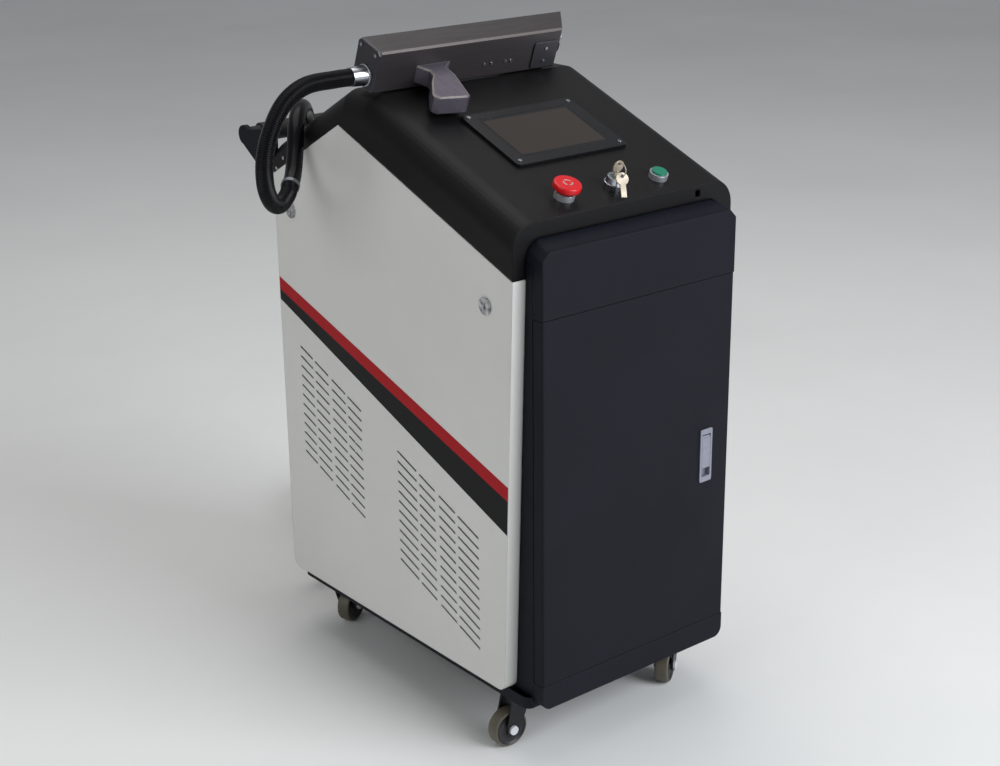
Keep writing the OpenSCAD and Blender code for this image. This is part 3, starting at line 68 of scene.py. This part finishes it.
# Room
# A smooth pale floor, and three soft lamps: one in front, one at the left side and one overhead.
def linear(tone):
    """A colour as a screen shows it, '#rrggbb', as linear light: the screen's curve undone."""
    v = np.array([int(tone[i:i + 2], 16) for i in (1, 3, 5)]) / 255
    return (*np.where(v <= 0.04045, v / 12.92, ((v + 0.055) / 1.055) ** 2.4), 1.0)


def node(made, kind, settings=None, **sockets):
    """Adds a shader node to a material: settings are its own, sockets are values or links by name,
    or by number after an i."""
    tree = made.node_tree
    n = tree.nodes.new("ShaderNode" + kind)
    for key, value in (settings or {}).items():
        setattr(n, key, value)
    for key, value in sockets.items():
        by_number = key[0] == "i" and key[1:].isdigit()
        socket = n.inputs[int(key[1:])] if by_number else n.inputs[key.replace("_", " ")]
        if isinstance(value, bpy.types.NodeSocket):
            tree.links.new(value, socket)
        else:
            socket.default_value = value
    return n


def blended(made, share, first, second):
    """The first colour where share is 0 and the second where it is 1."""
    return node(made, "Mix", {"data_type": "RGBA"}, i0=share, i6=first, i7=second).outputs[2]


def both(made, one, other):
    """1 where two shares are 1: their product."""
    return node(made, "Math", {"operation": "MULTIPLY"}, i0=one, i1=other).outputs["Value"]


def dot(made, one, other):
    """The dot product of two vectors."""
    return node(made, "VectorMath", {"operation": "DOT_PRODUCT"}, i0=one, i1=other).outputs["Value"]


def finish(name, tone, second=None, patch=11.0, rough=(0.45, 0.55), metal=0.0, grain=0.0,
           grain_size=0.0006, stretch=(1, 1, 1), coat=0.0, shine=0.5, round_edge=0.0, edge_highlight=None):
    """A surface whose colour drifts in soft patches from tone to second, or to a darker tone, with a
    fine grain as bump, a roughness that follows the patches, edges that look rounded, and a painted
    highlight on the edges that lean towards one direction, given as its tone, its radius and that
    direction. An edge is where the bevelled normal leaves the face's own."""
    made = bpy.data.materials.new(name)
    made.use_nodes = True
    shader = made.node_tree.nodes["Principled BSDF"]
    shader.inputs["Metallic"].default_value = metal
    shader.inputs["Specular IOR Level"].default_value = shine
    shader.inputs["Coat Weight"].default_value = coat
    shader.inputs["Coat Roughness"].default_value = 0.12
    place = node(made, "TexCoord").outputs["Object"]
    spread = node(made, "Mapping", Vector=place, Scale=stretch).outputs["Vector"]
    patches = node(made, "TexNoise", Vector=spread, Scale=patch, Detail=5.0, Roughness=0.6).outputs["Fac"]
    drift = node(made, "MapRange", Value=patches, From_Min=0.3, From_Max=0.7).outputs["Result"]
    first = linear(tone)
    other = linear(second) if second else (*[c * 0.82 for c in first[:3]], 1.0)
    colour = blended(made, drift, first, other)
    normal = None
    if round_edge:
        normal = node(made, "Bevel", {"samples": 5}, Radius=round_edge).outputs["Normal"]
    if grain:
        fine = node(made, "TexNoise", Vector=spread, Scale=1 / grain_size, Detail=3.0, Roughness=0.65)
        bump = node(made, "Bump", Height=fine.outputs["Fac"], Strength=grain, Distance=grain_size / 3)
        if normal:
            made.node_tree.links.new(normal, bump.inputs["Normal"])
        made.node_tree.links.new(bump.outputs["Normal"], shader.inputs["Normal"])
    elif normal:
        made.node_tree.links.new(normal, shader.inputs["Normal"])
    # Painted highlight: edges whose bevelled normal leans towards the given side get a lighter tone.
    if edge_highlight:
        highlight_tone, highlight_radius, highlight_side = edge_highlight
        edge = node(made, "Bevel", {"samples": 10}, Radius=highlight_radius).outputs["Normal"]
        face = node(made, "NewGeometry").outputs["Normal"]
        edge_share = node(made, "MapRange", Value=dot(made, edge, face), From_Min=0.992, From_Max=0.93)
        leans = node(made, "MapRange", Value=dot(made, edge, highlight_side), From_Min=0.4, From_Max=0.6)
        share = both(made, edge_share.outputs["Result"], leans.outputs["Result"])
        colour = blended(made, share, colour, linear(highlight_tone))
    made.node_tree.links.new(colour, shader.inputs["Base Color"])
    smooth, dull = rough
    roughness = node(made, "Math", {"operation": "MULTIPLY_ADD"}, i0=drift, i1=dull - smooth, i2=smooth)
    made.node_tree.links.new(roughness.outputs["Value"], shader.inputs["Roughness"])
    return made


floor_reach = 30
floor_paint = finish("floor_paint", "#dfe0de", "#d6d8d6", patch=0.8, rough=(0.42, 0.5), grain=0.04,
                     grain_size=0.004)
floor_mesh = bpy.data.meshes.new("floor")
floor_corners = [(-floor_reach, -floor_reach, 0), (floor_reach, -floor_reach, 0),
                 (floor_reach, floor_reach, 0), (-floor_reach, floor_reach, 0)]
floor_mesh.from_pydata(floor_corners, [], [(0, 1, 2, 3)])
floor = bpy.data.objects.new("floor", floor_mesh)
floor_mesh.materials.append(floor_paint)
bpy.context.scene.collection.objects.link(floor)

lamps_aim = Vector((0, 0, 0.45))
for lamp_name, place, size, power, tint in (
        ("front_lamp", (1.2, -3.6, 2.4), 2.6, 190, (0.93, 0.95, 1.0)),
        ("side_lamp", (-3.6, -0.5, 2.3), 2.6, 37, (1.0, 1.0, 1.0)),
        ("roof_lamp", (0.3, 0.9, 4.2), 3.2, 64, (1.0, 0.96, 0.92))):
    lamp = bpy.data.objects.new(lamp_name, bpy.data.lights.new(lamp_name, "AREA"))
    lamp.data.size = size
    lamp.data.energy = power
    lamp.data.color = tint
    lamp.location = place
    lamp.rotation_euler = (lamps_aim - Vector(place)).to_track_quat("-Z", "Y").to_euler()
    bpy.context.scene.collection.objects.link(lamp)

air_light, air_seen = 0.32, 0.9
world = bpy.data.worlds.new("studio")
bpy.context.scene.world = world
world.use_nodes = True
air = world.node_tree.nodes["Background"]
rays = world.node_tree.nodes.new("ShaderNodeLightPath")
strength = world.node_tree.nodes.new("ShaderNodeMapRange")
strength.inputs["To Min"].default_value = air_light
strength.inputs["To Max"].default_value = air_seen
world.node_tree.links.new(rays.outputs["Is Camera Ray"], strength.inputs["Value"])
world.node_tree.links.new(strength.outputs["Result"], air.inputs["Strength"])
air.inputs["Color"].default_value = (0.93, 0.95, 1.0, 1)

# Hose
# The gun's supply hose: a black jacket of 25 mm, under a ribbed sleeve from the gun's gland to a
# clamp ring. It goes over the shoulder, through the push handle and down to the floor, lies there
# in two layers of loops, and goes up into the rear gland.
hose_r = 0.0125
rib_count, rib_depth = 130, 0.0011
# The clamp ring sits at this point of the route
clamp_point = 10
# The loops grow by a pitch each turn, inwards first and then, a layer higher, outwards again
coil_r, loop_pitch = 0.1325, 0.026
turns_in, turns_out = 1.5, 1.25
# Mesh steps round the hose, between two route points, on a rib, on a loop and on the plain stretch
hose_sides, route_steps, rib_steps, loop_steps, plain_steps = 28, 64, 8, 400, 640
hose_route = np.array([
    [-216, 18, 951], [-241, 18, 951], [-290, 15, 949], [-327, 11, 932], [-352, 9, 900],
    [-364, 12, 860], [-359, 23, 820], [-339, 43, 789], [-310, 70, 773], [-278, 99, 776],
    [-262, 114, 786], [-246, 130, 798], [-227, 152, 824], [-210, 174, 853], [-191, 196, 869],
    [-169, 221, 873], [-148, 246, 865], [-130, 267, 845], [-118, 282, 815], [-112, 290, 775],
    [-112, 290, 735], [-112, 300, 640], [-112, 312, 520], [-112, 325, 400], [-112, 338, 280],
    [-112, 349, 160], [-112, 352, 110], [-99, 352, 62], [-64, 352, 28], [-17, 352, 15],
    [40, 352, 15], [100, 352, 15], [155, 352, 15]]) / 1000
tail_route = np.array([
    [15, 498.5, 41], [15, 465, 47], [15, 436, 64], [15, 412, 85], [15, 387, 107], [15, 358, 124],
    [15, 325, 130], [15, 300, 130]]) / 1000


def skin(name, points, round_rows=False, round_columns=False, ends=False, smooth=True):
    """A mesh on a grid of points, rows by columns: each four neighbours make a face. Rows or columns
    may close on themselves, and ends closes the first and last row with a face. A closed skin whose
    volume comes out negative has its faces turned, so that they point outwards."""
    rows, columns = points.shape[:2]
    r, c = np.meshgrid(np.arange(rows - (not round_rows)), np.arange(columns - (not round_columns)),
                       indexing="ij")
    r2, c2 = (r + 1) % rows, (c + 1) % columns
    faces = np.stack([r * columns + c, r2 * columns + c, r2 * columns + c2, r * columns + c2], -1)
    faces = faces.reshape(-1, 4)
    flat = points.reshape(-1, 3)
    volume = sum(np.einsum("ij,ij->", flat[faces[:, 0]], np.cross(flat[faces[:, i]], flat[faces[:, i + 1]]))
                 for i in (1, 2))
    flip = (ends or (round_rows and round_columns)) and volume < 0
    faces = (faces[:, ::-1] if flip else faces).tolist()
    if ends:
        first, last = list(range(columns)), [(rows - 1) * columns + k for k in range(columns)]
        faces += [first[::-1], last] if flip else [first, last[::-1]]
    mesh = bpy.data.meshes.new(name)
    mesh.from_pydata(flat.tolist(), [], faces)
    mesh.polygons.foreach_set("use_smooth", [smooth] * len(mesh.polygons))
    made = bpy.data.objects.new(name, mesh)
    bpy.context.scene.collection.objects.link(made)
    return made


def eased(points, steps):
    """A smooth curve through the points: on each piece a cubic whose slope at a point is half the
    step between that point's neighbours."""
    p = np.vstack([2 * points[0] - points[1], points, 2 * points[-1] - points[-2]])
    t = (np.arange(steps) / steps)[None, :, None]
    a, b, c, d = (p[k:len(p) - 3 + k][:, None] for k in range(4))
    squared, cubed = 2 * a - 5 * b + 4 * c - d, 3 * b - a - 3 * c + d
    curve = (2 * b + (c - a) * t + squared * t ** 2 + cubed * t ** 3) / 2
    return np.vstack([curve.reshape(-1, 3), points[-1:]])


def lengths(line):
    """Length along a line up to each of its points: the running sum of the steps."""
    return np.concatenate([[0], np.cumsum(np.linalg.norm(np.diff(line, axis=0), axis=1))])


def hose_tube(line, radii, sides):
    """Rings square to the line: each ring's own X is the last one's, made square to the new heading."""
    heading = np.gradient(line, axis=0)
    heading /= np.linalg.norm(heading, axis=1)[:, None]
    ring_x = np.empty_like(line)
    x = np.cross(heading[0], [0, 1, 0])
    for i, h in enumerate(heading):
        x = x - h * (x @ h)
        x = x / np.linalg.norm(x)
        ring_x[i] = x
    ring_y = np.cross(heading, ring_x)
    a = np.linspace(0, 2 * np.pi, sides, endpoint=False)[None, :, None]
    return line[:, None] + radii[:, None, None] * (np.cos(a) * ring_x[:, None] + np.sin(a) * ring_y[:, None])


turn = np.linspace(-turns_in, turns_out, round((turns_in + turns_out) * loop_steps) + 1)
climb = np.clip(2 * turn + 0.5, 0, 1)
loop_r = coil_r + loop_pitch * np.abs(turn)
angle = 2 * np.pi * (turn + turns_in)
coil_middle = hose_route[-1] + [2 * hose_r, loop_r[0], 0]
coil_line = coil_middle + np.stack([loop_r * np.sin(angle), -loop_r * np.cos(angle),
                                    loop_pitch * climb ** 2 * (3 - 2 * climb)], -1)
sleeve_l = lengths(eased(hose_route, route_steps))[route_steps * clamp_point]
hose_line = np.vstack([eased(hose_route, route_steps), coil_line, eased(tail_route, route_steps)])
hose_s = lengths(hose_line)
even_s = np.concatenate([np.linspace(0, sleeve_l, rib_count * rib_steps, endpoint=False),
                         np.linspace(sleeve_l, hose_s[-1], plain_steps)])
hose_path = np.stack([np.interp(even_s, hose_s, hose_line[:, k]) for k in range(3)], -1)
wave = 0.5 + 0.5 * np.cos(2 * np.pi * even_s * rib_count / sleeve_l)
hose_radii = np.where(even_s < sleeve_l, hose_r - rib_depth * wave ** 1.6, hose_r)
laser_hose = skin("laser_hose", hose_tube(hose_path, hose_radii, hose_sides), round_columns=True, ends=True)
laser_hose.data.materials.append(finish("hose_jacket", "#07070a", "#050508", patch=30, rough=(0.22, 0.3),
                                        grain=0.05, grain_size=0.0012, shine=0.13))
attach(laser_hose, "cabinet")
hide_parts("hose_sleeve", "hose_free", "hose_coil", "hose_tail")


# Hose fittings
# The thin steel clamp ring, the tie's rubber band, and the plated glands that grip the hose
# on the gun and on the rear panel.
def dress(made, *names):
    """Gives a finish to CAD nodes, in every material slot of theirs."""
    for name in names:
        piece = frame["nodes"][name]
        if not piece.material_slots:
            piece.data.materials.append(made)
        for place in piece.material_slots:
            place.material = made


dress(finish("clamp_ring", "#707277", "#606267", patch=60, rough=(0.3, 0.42), metal=0.7, grain=0.1,
             grain_size=0.0008, round_edge=0.0008), "hose_ring")
dress(finish("tie_band", "#242427", patch=40, rough=(0.6, 0.7), grain=0.3, grain_size=0.001), "coil_tie")
gland_plate = finish("gland_plate", "#c6c9cd", "#aeb1b6", patch=50, rough=(0.16, 0.28), metal=1.0,
                     stretch=(1, 6, 6), grain=0.04, grain_size=0.0005, round_edge=0.0006)
dress(gland_plate, "gun_gland", "rear_gland", "rear_inlets")

# Black sheet metal
# Tray, front frame, fascia, skirt, cover, rear panel and handle arms: folded steel of 1.5 to 2 mm with a
# charcoal powder coat, whose fine pimples break up every reflection.
def powder_coat(name, tone, second, rough, edge):
    """A powder coat on folded sheet metal, pimpled, with bends that look as round as edge."""
    return finish(name, tone, second, patch=5, rough=rough, grain=0.4, grain_size=0.0011, shine=0.16,
                  round_edge=edge)


sheet_edge, rolled_edge = 0.0016, 0.005
charcoal, charcoal_dark = "#0c0e18", "#0a0c15"
dress(powder_coat("charcoal_fascia", charcoal, charcoal_dark, (0.5, 0.6), rolled_edge), "front_fascia")
dress(powder_coat("charcoal_powder", charcoal, charcoal_dark, (0.5, 0.6), sheet_edge), "base_tray",
      "front_frame", "front_skirt", "rear_panel", "handle_arms", "door_panel")
dress(powder_coat("charcoal_cover", "#0e0e0f", "#0c0b0c", (0.42, 0.52), rolled_edge), "top_cover")

# Side panels
# Folded steel pans with vents punched through, under a warm white satin powder coat. A film of two
# stripes, red over black, slopes down towards the front.
panel_white = finish("white_powder", "#cfcfcc", "#c9c9c5", patch=3, rough=(0.36, 0.44), grain=0.12,
                     grain_size=0.0016, round_edge=0.003)
dress(panel_white, "left_side_panel", "right_side_panel")


def above_line(made, low, high):
    """1 above the sloping line through two (y, z) points, and 0 below it."""
    slope = (high[1] - low[1]) / (high[0] - low[0])
    place = node(made, "TexCoord").outputs["Object"]
    rise = dot(made, place, (0, -slope, 1))
    above = node(made, "Math", {"operation": "GREATER_THAN"}, i0=rise, i1=low[1] - slope * low[0])
    return above.outputs["Value"]


def overlay(made, share, tone):
    """Lays another colour over a finish where share is 1."""
    shader = made.node_tree.nodes["Principled BSDF"]
    under = shader.inputs["Base Color"].links[0].from_socket
    made.node_tree.links.new(blended(made, share, under, linear(tone)), shader.inputs["Base Color"])


red_from, red_to = (-0.309, 0.409), (0.256, 0.586)
stripe_film = finish("stripe_film", "#0f0f11", "#0d0d0f", patch=8, rough=(0.3, 0.38), shine=0.12)
overlay(stripe_film, above_line(stripe_film, red_from, red_to), "#9f0d17")
dress(stripe_film, "side_stripes")

# Latch
# A flush pull latch: a pressed plate with a paddle in it, both of bright plated zinc.
latch_metal = finish("latch_zinc", "#898b97", "#7d7f8b", patch=40, rough=(0.32, 0.42), metal=0.35,
                     grain=0.08, grain_size=0.0006, stretch=(1, 1, 3), round_edge=0.001)
dress(latch_metal, "latch_plate", "latch_paddle")
dress(finish("pin_steel", "#8f9196", patch=40, rough=(0.3, 0.4), metal=1.0), "door_pins")

# Display
# A panel computer: a moulded black bezel held by four screws, and a glossy screen that is switched
# off. A warmer field on the glass, over its active area, is a painted reflection.
slope_a = math.radians(20.5)
slope_dir = (0, math.cos(slope_a), math.sin(slope_a))
# Foot of the slope, (y from the door's face, z), and the door's face itself in the frame
slope_foot = (0.033, 0.8025)
door_face = -0.356


def on_console(x, y, up=0.0):
    """A point over the sloping console, in metres: x across, y from the door's face, up along its normal."""
    z = slope_foot[1] + math.tan(slope_a) * (y - slope_foot[0])
    return Vector((x, door_face + y - up * math.sin(slope_a), z + up * math.cos(slope_a)))


def in_field(made, middle, direction, half):
    """1 where the distance from middle along direction is less than half, and 0 outside."""
    place = node(made, "TexCoord").outputs["Object"]
    off = node(made, "Math", {"operation": "SUBTRACT"}, i0=dot(made, place, direction),
               i1=float(Vector(direction) @ middle))
    size = node(made, "Math", {"operation": "ABSOLUTE"}, i0=off.outputs["Value"])
    return node(made, "Math", {"operation": "LESS_THAN"}, i0=size.outputs["Value"], i1=half).outputs["Value"]


# A painted reflection: a warmer field of this size on the screen's glass.
reflection_w, reflection_h, reflection_middle = 0.154, 0.093, on_console(0, 0.208)
dress(finish("bezel_plastic", "#111214", "#0e0f11", patch=14, rough=(0.26, 0.34), grain=0.12,
             grain_size=0.0007, shine=0.25, round_edge=0.0014), "hmi_bezel")
screen = finish("screen_glass", "#101114", "#0e0f12", patch=16, rough=(0.05, 0.12), coat=0.1, shine=0.35)
overlay(screen, both(screen, in_field(screen, reflection_middle, (1, 0, 0), reflection_w / 2),
                     in_field(screen, reflection_middle, slope_dir, reflection_h / 2)), "#2c251f")
dress(screen, "hmi_glass")

# Stop button
# A glossy red mushroom head of 40 mm on a plated collar, with three pale turning arrows printed round
# its middle.
stop_x, stop_y, stop_top = -0.086, 0.066, 0.02405
arrow_r, arrow_w, print_t = 0.0062, 0.0021, 0.00012
arrow_spans = [(15, 110), (135, 230), (255, 350)]
dress(finish("plated_collar", "#c9ccd1", "#b2b5bb", patch=60, rough=(0.24, 0.34), metal=0.7,
             round_edge=0.0008), "estop_collar", "start_bezel")
dress(finish("stop_red", "#c4141b", "#b81118", patch=30, rough=(0.24, 0.32), coat=0.1, shine=0.3,
             round_edge=0.0006), "estop_head")


def round_print(name, middle, radius, spans, wide, lift):
    """Arrows round a middle on the console's slope: each is a bar that follows a circle, up to its head,
    which starts twice as wide and narrows to a point over its last 22 degrees."""
    slope_x, slope_y = np.array([1.0, 0, 0]), np.array(slope_dir)
    normal = np.cross(slope_x, slope_y)
    made = []
    head_a, bar_steps, head_steps, tip_w = 22, 14, 8, 0.00005
    for k, (start, end) in enumerate(spans):
        a = np.radians(np.concatenate([np.linspace(start, end - head_a, bar_steps),
                                       np.linspace(end - head_a + 0.1, end, head_steps)]))
        half = np.concatenate([np.full(bar_steps, wide / 2), np.linspace(wide, tip_w, head_steps)])
        r = radius + half[:, None] * np.linspace(-1, 1, 3)[None]
        p = r[..., None] * (np.cos(a)[:, None, None] * slope_x + np.sin(a)[:, None, None] * slope_y)
        piece = skin("%s_%d" % (name, k + 1), np.array(middle) + p + lift * normal, smooth=False)
        piece.modifiers.new("print", "SOLIDIFY").thickness = print_t
        piece.modifiers["print"].offset = 1
        made.append(piece)
    return made


arrow_print = finish("arrow_print", "#a8938f", "#97827e", patch=60, rough=(0.35, 0.45))
for arrow in round_print("stop_arrow", on_console(stop_x, stop_y), arrow_r, arrow_spans, arrow_w, stop_top):
    arrow.data.materials.append(arrow_print)
    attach(arrow, "stop_head")

# Start button and key switch
# A green button in a plated ring, and a plated key switch with its key in it and a spare on the ring.
dress(finish("start_green", "#0b7459", "#096a51", patch=50, rough=(0.24, 0.32), coat=0.1,
             round_edge=0.0008), "start_button")
dress(finish("switch_barrel", "#c2c5ca", "#a9acb2", patch=60, rough=(0.16, 0.28), metal=1.0,
             stretch=(1, 1, 4), round_edge=0.0008), "key_barrel")
dress(finish("switch_rotor", "#5b6f70", "#4c5f60", patch=60, rough=(0.3, 0.4), metal=0.7), "key_rotor")
dress(finish("key_nickel", "#aca290", "#998f7f", patch=80, rough=(0.36, 0.48), metal=0.35,
             round_edge=0.0005), "key_set")

# Cam locks and screws
# Bright plated lock housings with turning cores, and small plated screws. The housings' finish drifts
# in patches from near white to dark grey: a painted reflection.
dress(finish("lock_chrome_painted_reflection", "#e8e8ec", "#39363a", patch=150, rough=(0.12, 0.22), metal=1.0,
             round_edge=0.0012), "lock_housings", "lock_left_front", "lock_left_rear", "lock_right_front",
      "lock_right_rear")
dress(finish("screw_chrome", "#b9bcc2", "#a0a3a9", patch=90, rough=(0.2, 0.3), metal=1.0, round_edge=0.0004),
      "panel_screws")

# Gun
# A cleaning gun of milled aluminium with a dark anodised skin, drawn along its length, and bright edges
# where the chamfers were cut afterwards. Its lid plates are darker, and its muzzle ring is plated.
# The edges that lean upwards, and on the grip those towards the near side, get a painted highlight.
def leaning(made, one, other, least):
    """1 where a face leans towards both directions by at least that cosine, either way, and 0 elsewhere."""
    normal = node(made, "TexCoord").outputs["Normal"]
    shares = []
    for direction in (one, other):
        size = node(made, "Math", {"operation": "ABSOLUTE"}, i0=dot(made, normal, direction)).outputs["Value"]
        shares.append(node(made, "Math", {"operation": "GREATER_THAN"}, i0=size, i1=least).outputs["Value"])
    return both(made, *shares)


slope_up = (0, -math.sin(slope_a), math.cos(slope_a))
# The grip's painted highlight falls on the edges that lean this way: up and towards the near left.
grip_highlight_side = (-0.35, -0.2, 0.9)
gun_shell = finish("gun_shell", "#3f3b3c", "#363334", patch=16, rough=(0.38, 0.48), metal=0.5,
                   stretch=(1, 9, 9), grain=0.12, grain_size=0.0009, round_edge=0.0008,
                   edge_highlight=("#6c6a6d", 0.0012, slope_up))
overlay(gun_shell, leaning(gun_shell, slope_dir, slope_up, 0.3), "#55504e")
# The grip has the gun's own anodised skin; its lighter, bluer tone here is painted light, the look of its lit
# end face.
grip_painted_light_shell = finish("grip_painted_light_shell", "#5d5863", "#524e58", patch=16, rough=(0.38, 0.48), metal=0.5,
                    stretch=(9, 1, 9), grain=0.12, grain_size=0.0009, round_edge=0.0014,
                    edge_highlight=("#9a948f", 0.0026, grip_highlight_side))
gun_lid = finish("gun_lid", "#3c3a3e", "#353438", patch=20, rough=(0.34, 0.44), metal=0.5, grain=0.14,
                 grain_size=0.0009, round_edge=0.0008, edge_highlight=("#77757a", 0.0012, slope_up))
dress(gun_shell, "gun_body")
dress(grip_painted_light_shell, "gun_grip")
dress(gun_lid, "gun_plates")
dress(gland_plate, "gun_window")
dress(finish("trigger_plastic", "#202124", "#1b1c1f", patch=40, rough=(0.4, 0.5), grain=0.25,
             grain_size=0.0008, round_edge=0.0008), "gun_trigger")
dress(finish("rest_rubber", "#1b1b1d", patch=30, rough=(0.65, 0.75), grain=0.35, grain_size=0.001),
      "gun_rest")

# Push handle
# A foam rubber grip on the bar between the two arms.
dress(finish("grip_rubber", "#1c1c1e", "#161618", patch=30, rough=(0.62, 0.74), grain=0.6, grain_size=0.0016,
             round_edge=0.002), "handle_bar")

# Fan
# A moulded black fan behind the rear panel, with its frame and blades.
dress(finish("fan_plastic", "#1b1c1e", "#16171a", patch=20, rough=(0.42, 0.52), grain=0.2, grain_size=0.0008,
             round_edge=0.001), "fan_housing", "fan_rotor")

# Inside
# A primed frame, a finned aluminium laser source, a moulded water tank and a steel supply.
dress(finish("frame_primer", "#8a8d92", "#7f8288", patch=8, rough=(0.5, 0.6), grain=0.25, grain_size=0.0012,
             round_edge=0.0012), "inner_frame")
dress(finish("source_alloy", "#9a9da3", "#878a91", patch=14, rough=(0.32, 0.44), metal=0.85,
             stretch=(1, 1, 8), grain=0.12, grain_size=0.0008, round_edge=0.0008), "laser_source")
dress(finish("tank_plastic", "#ccd4d8", "#bfc9ce", patch=9, rough=(0.36, 0.46), grain=0.1, grain_size=0.002,
             round_edge=0.003), "water_tank")
dress(finish("supply_steel", "#979ba1", "#868a91", patch=12, rough=(0.3, 0.42), metal=0.9, grain=0.1,
             grain_size=0.0007, round_edge=0.0008), "power_supply")

# Casters
# Black forks on swivel plates, and wheels with a thin tread of beige grey rubber moulded round a black
# core, with a plated axle bolt through them.
core_r, tread_r = 0.0258, 0.029
tread_half_w, flank_half_w = 0.0108, 0.0104
crown_drop, shoulder_drop = 0.0006, 0.0018
bolt_r = 0.0072
wheel_sides, tread_points = 72, 15
tread_rubber = finish("tread_rubber", "#5d584a", "#4a463b", patch=36, rough=(0.42, 0.55), grain=0.2,
                      grain_size=0.0012)
core_plastic = finish("core_plastic", "#1c1b1e", "#161517", patch=50, rough=(0.4, 0.5), grain=0.2,
                      grain_size=0.0008, round_edge=0.0006)


def caster_steel(name):
    """Black plated steel, as on the swivel plates and the forks."""
    return finish(name, "#19191b", "#141416", patch=45, rough=(0.34, 0.48), metal=0.4, grain=0.12,
                  grain_size=0.0008, round_edge=0.0008)


def turned(name, middle, axle, profile):
    """A turned ring: each profile point, (distance from the axle, place along it), goes round the axle."""
    axle = np.array(axle) / np.linalg.norm(axle)
    side = np.cross(axle, [0, 0, 1])
    side /= np.linalg.norm(side)
    top = np.cross(side, axle)
    a = np.linspace(0, 2 * np.pi, wheel_sides, endpoint=False)
    out = np.cos(a)[None, :, None] * side + np.sin(a)[None, :, None] * top
    p = np.array(profile)
    grid = np.array(middle) + p[:, 0, None, None] * out + p[:, 1, None, None] * axle
    return skin(name, grid, round_rows=True, round_columns=True)


def round_axle(made, middle, axle, radius):
    """1 nearer to an axle's line than radius, and 0 elsewhere: the distance is the length of the cross
    product of the axle with the way from its middle."""
    place = node(made, "TexCoord").outputs["Object"]
    way = node(made, "VectorMath", {"operation": "SUBTRACT"}, i0=place, i1=middle).outputs["Vector"]
    off = node(made, "VectorMath", {"operation": "CROSS_PRODUCT"}, i0=way, i1=axle).outputs["Vector"]
    size = node(made, "VectorMath", {"operation": "LENGTH"}, i0=off).outputs["Value"]
    return node(made, "Math", {"operation": "LESS_THAN"}, i0=size, i1=radius).outputs["Value"]


def tread_profile():
    """A tread crowned by a shallow parabola between rounded shoulders, and straight flanks down to the
    core, which they enter by a tenth of a millimetre."""
    w = np.linspace(-1, 1, tread_points)
    crown = np.stack([tread_r - crown_drop * w ** 2 - shoulder_drop * np.abs(w) ** 10,
                      tread_half_w * np.sign(w) * np.abs(w) ** 0.8], -1)
    foot_r = core_r - 0.0001
    return np.vstack([[foot_r, -flank_half_w], crown, [foot_r, flank_half_w]])


# The core's near side from its bore outwards: boss, sunk web and rim
near_side = [(0.00415, -0.0109), (0.0088, -0.0109), (0.0093, -0.0102), (0.0096, -0.0086),
             (core_r - 0.0034, -0.0078), (core_r - 0.0016, -0.0086), (core_r - 0.0008, -0.0103),
             (core_r, -flank_half_w)]
core_profile = near_side + [(r, -w) for r, w in reversed(near_side)]
dress(caster_steel("plate_steel"), "caster_plates")
for joint in frame["record"]["behaviour"]["joints"]:
    if joint["name"].startswith("roll_"):
        corner, middle, axle = joint["name"][5:], joint["pos_m"], joint["axis"]
        wheel = "wheel_" + corner
        fork_steel = caster_steel("fork_steel_" + corner)
        overlay(fork_steel, round_axle(fork_steel, middle, axle, bolt_r), "#d3d6da")
        dress(fork_steel, "caster_fork_" + corner)
        tyre = turned(wheel + "_tyre", middle, axle, tread_profile())
        tyre.data.materials.append(tread_rubber)
        core = turned(wheel + "_core", middle, axle, core_profile)
        core.data.materials.append(core_plastic)
        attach(tyre, wheel)
        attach(core, wheel)
        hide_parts("caster_wheel_" + corner)
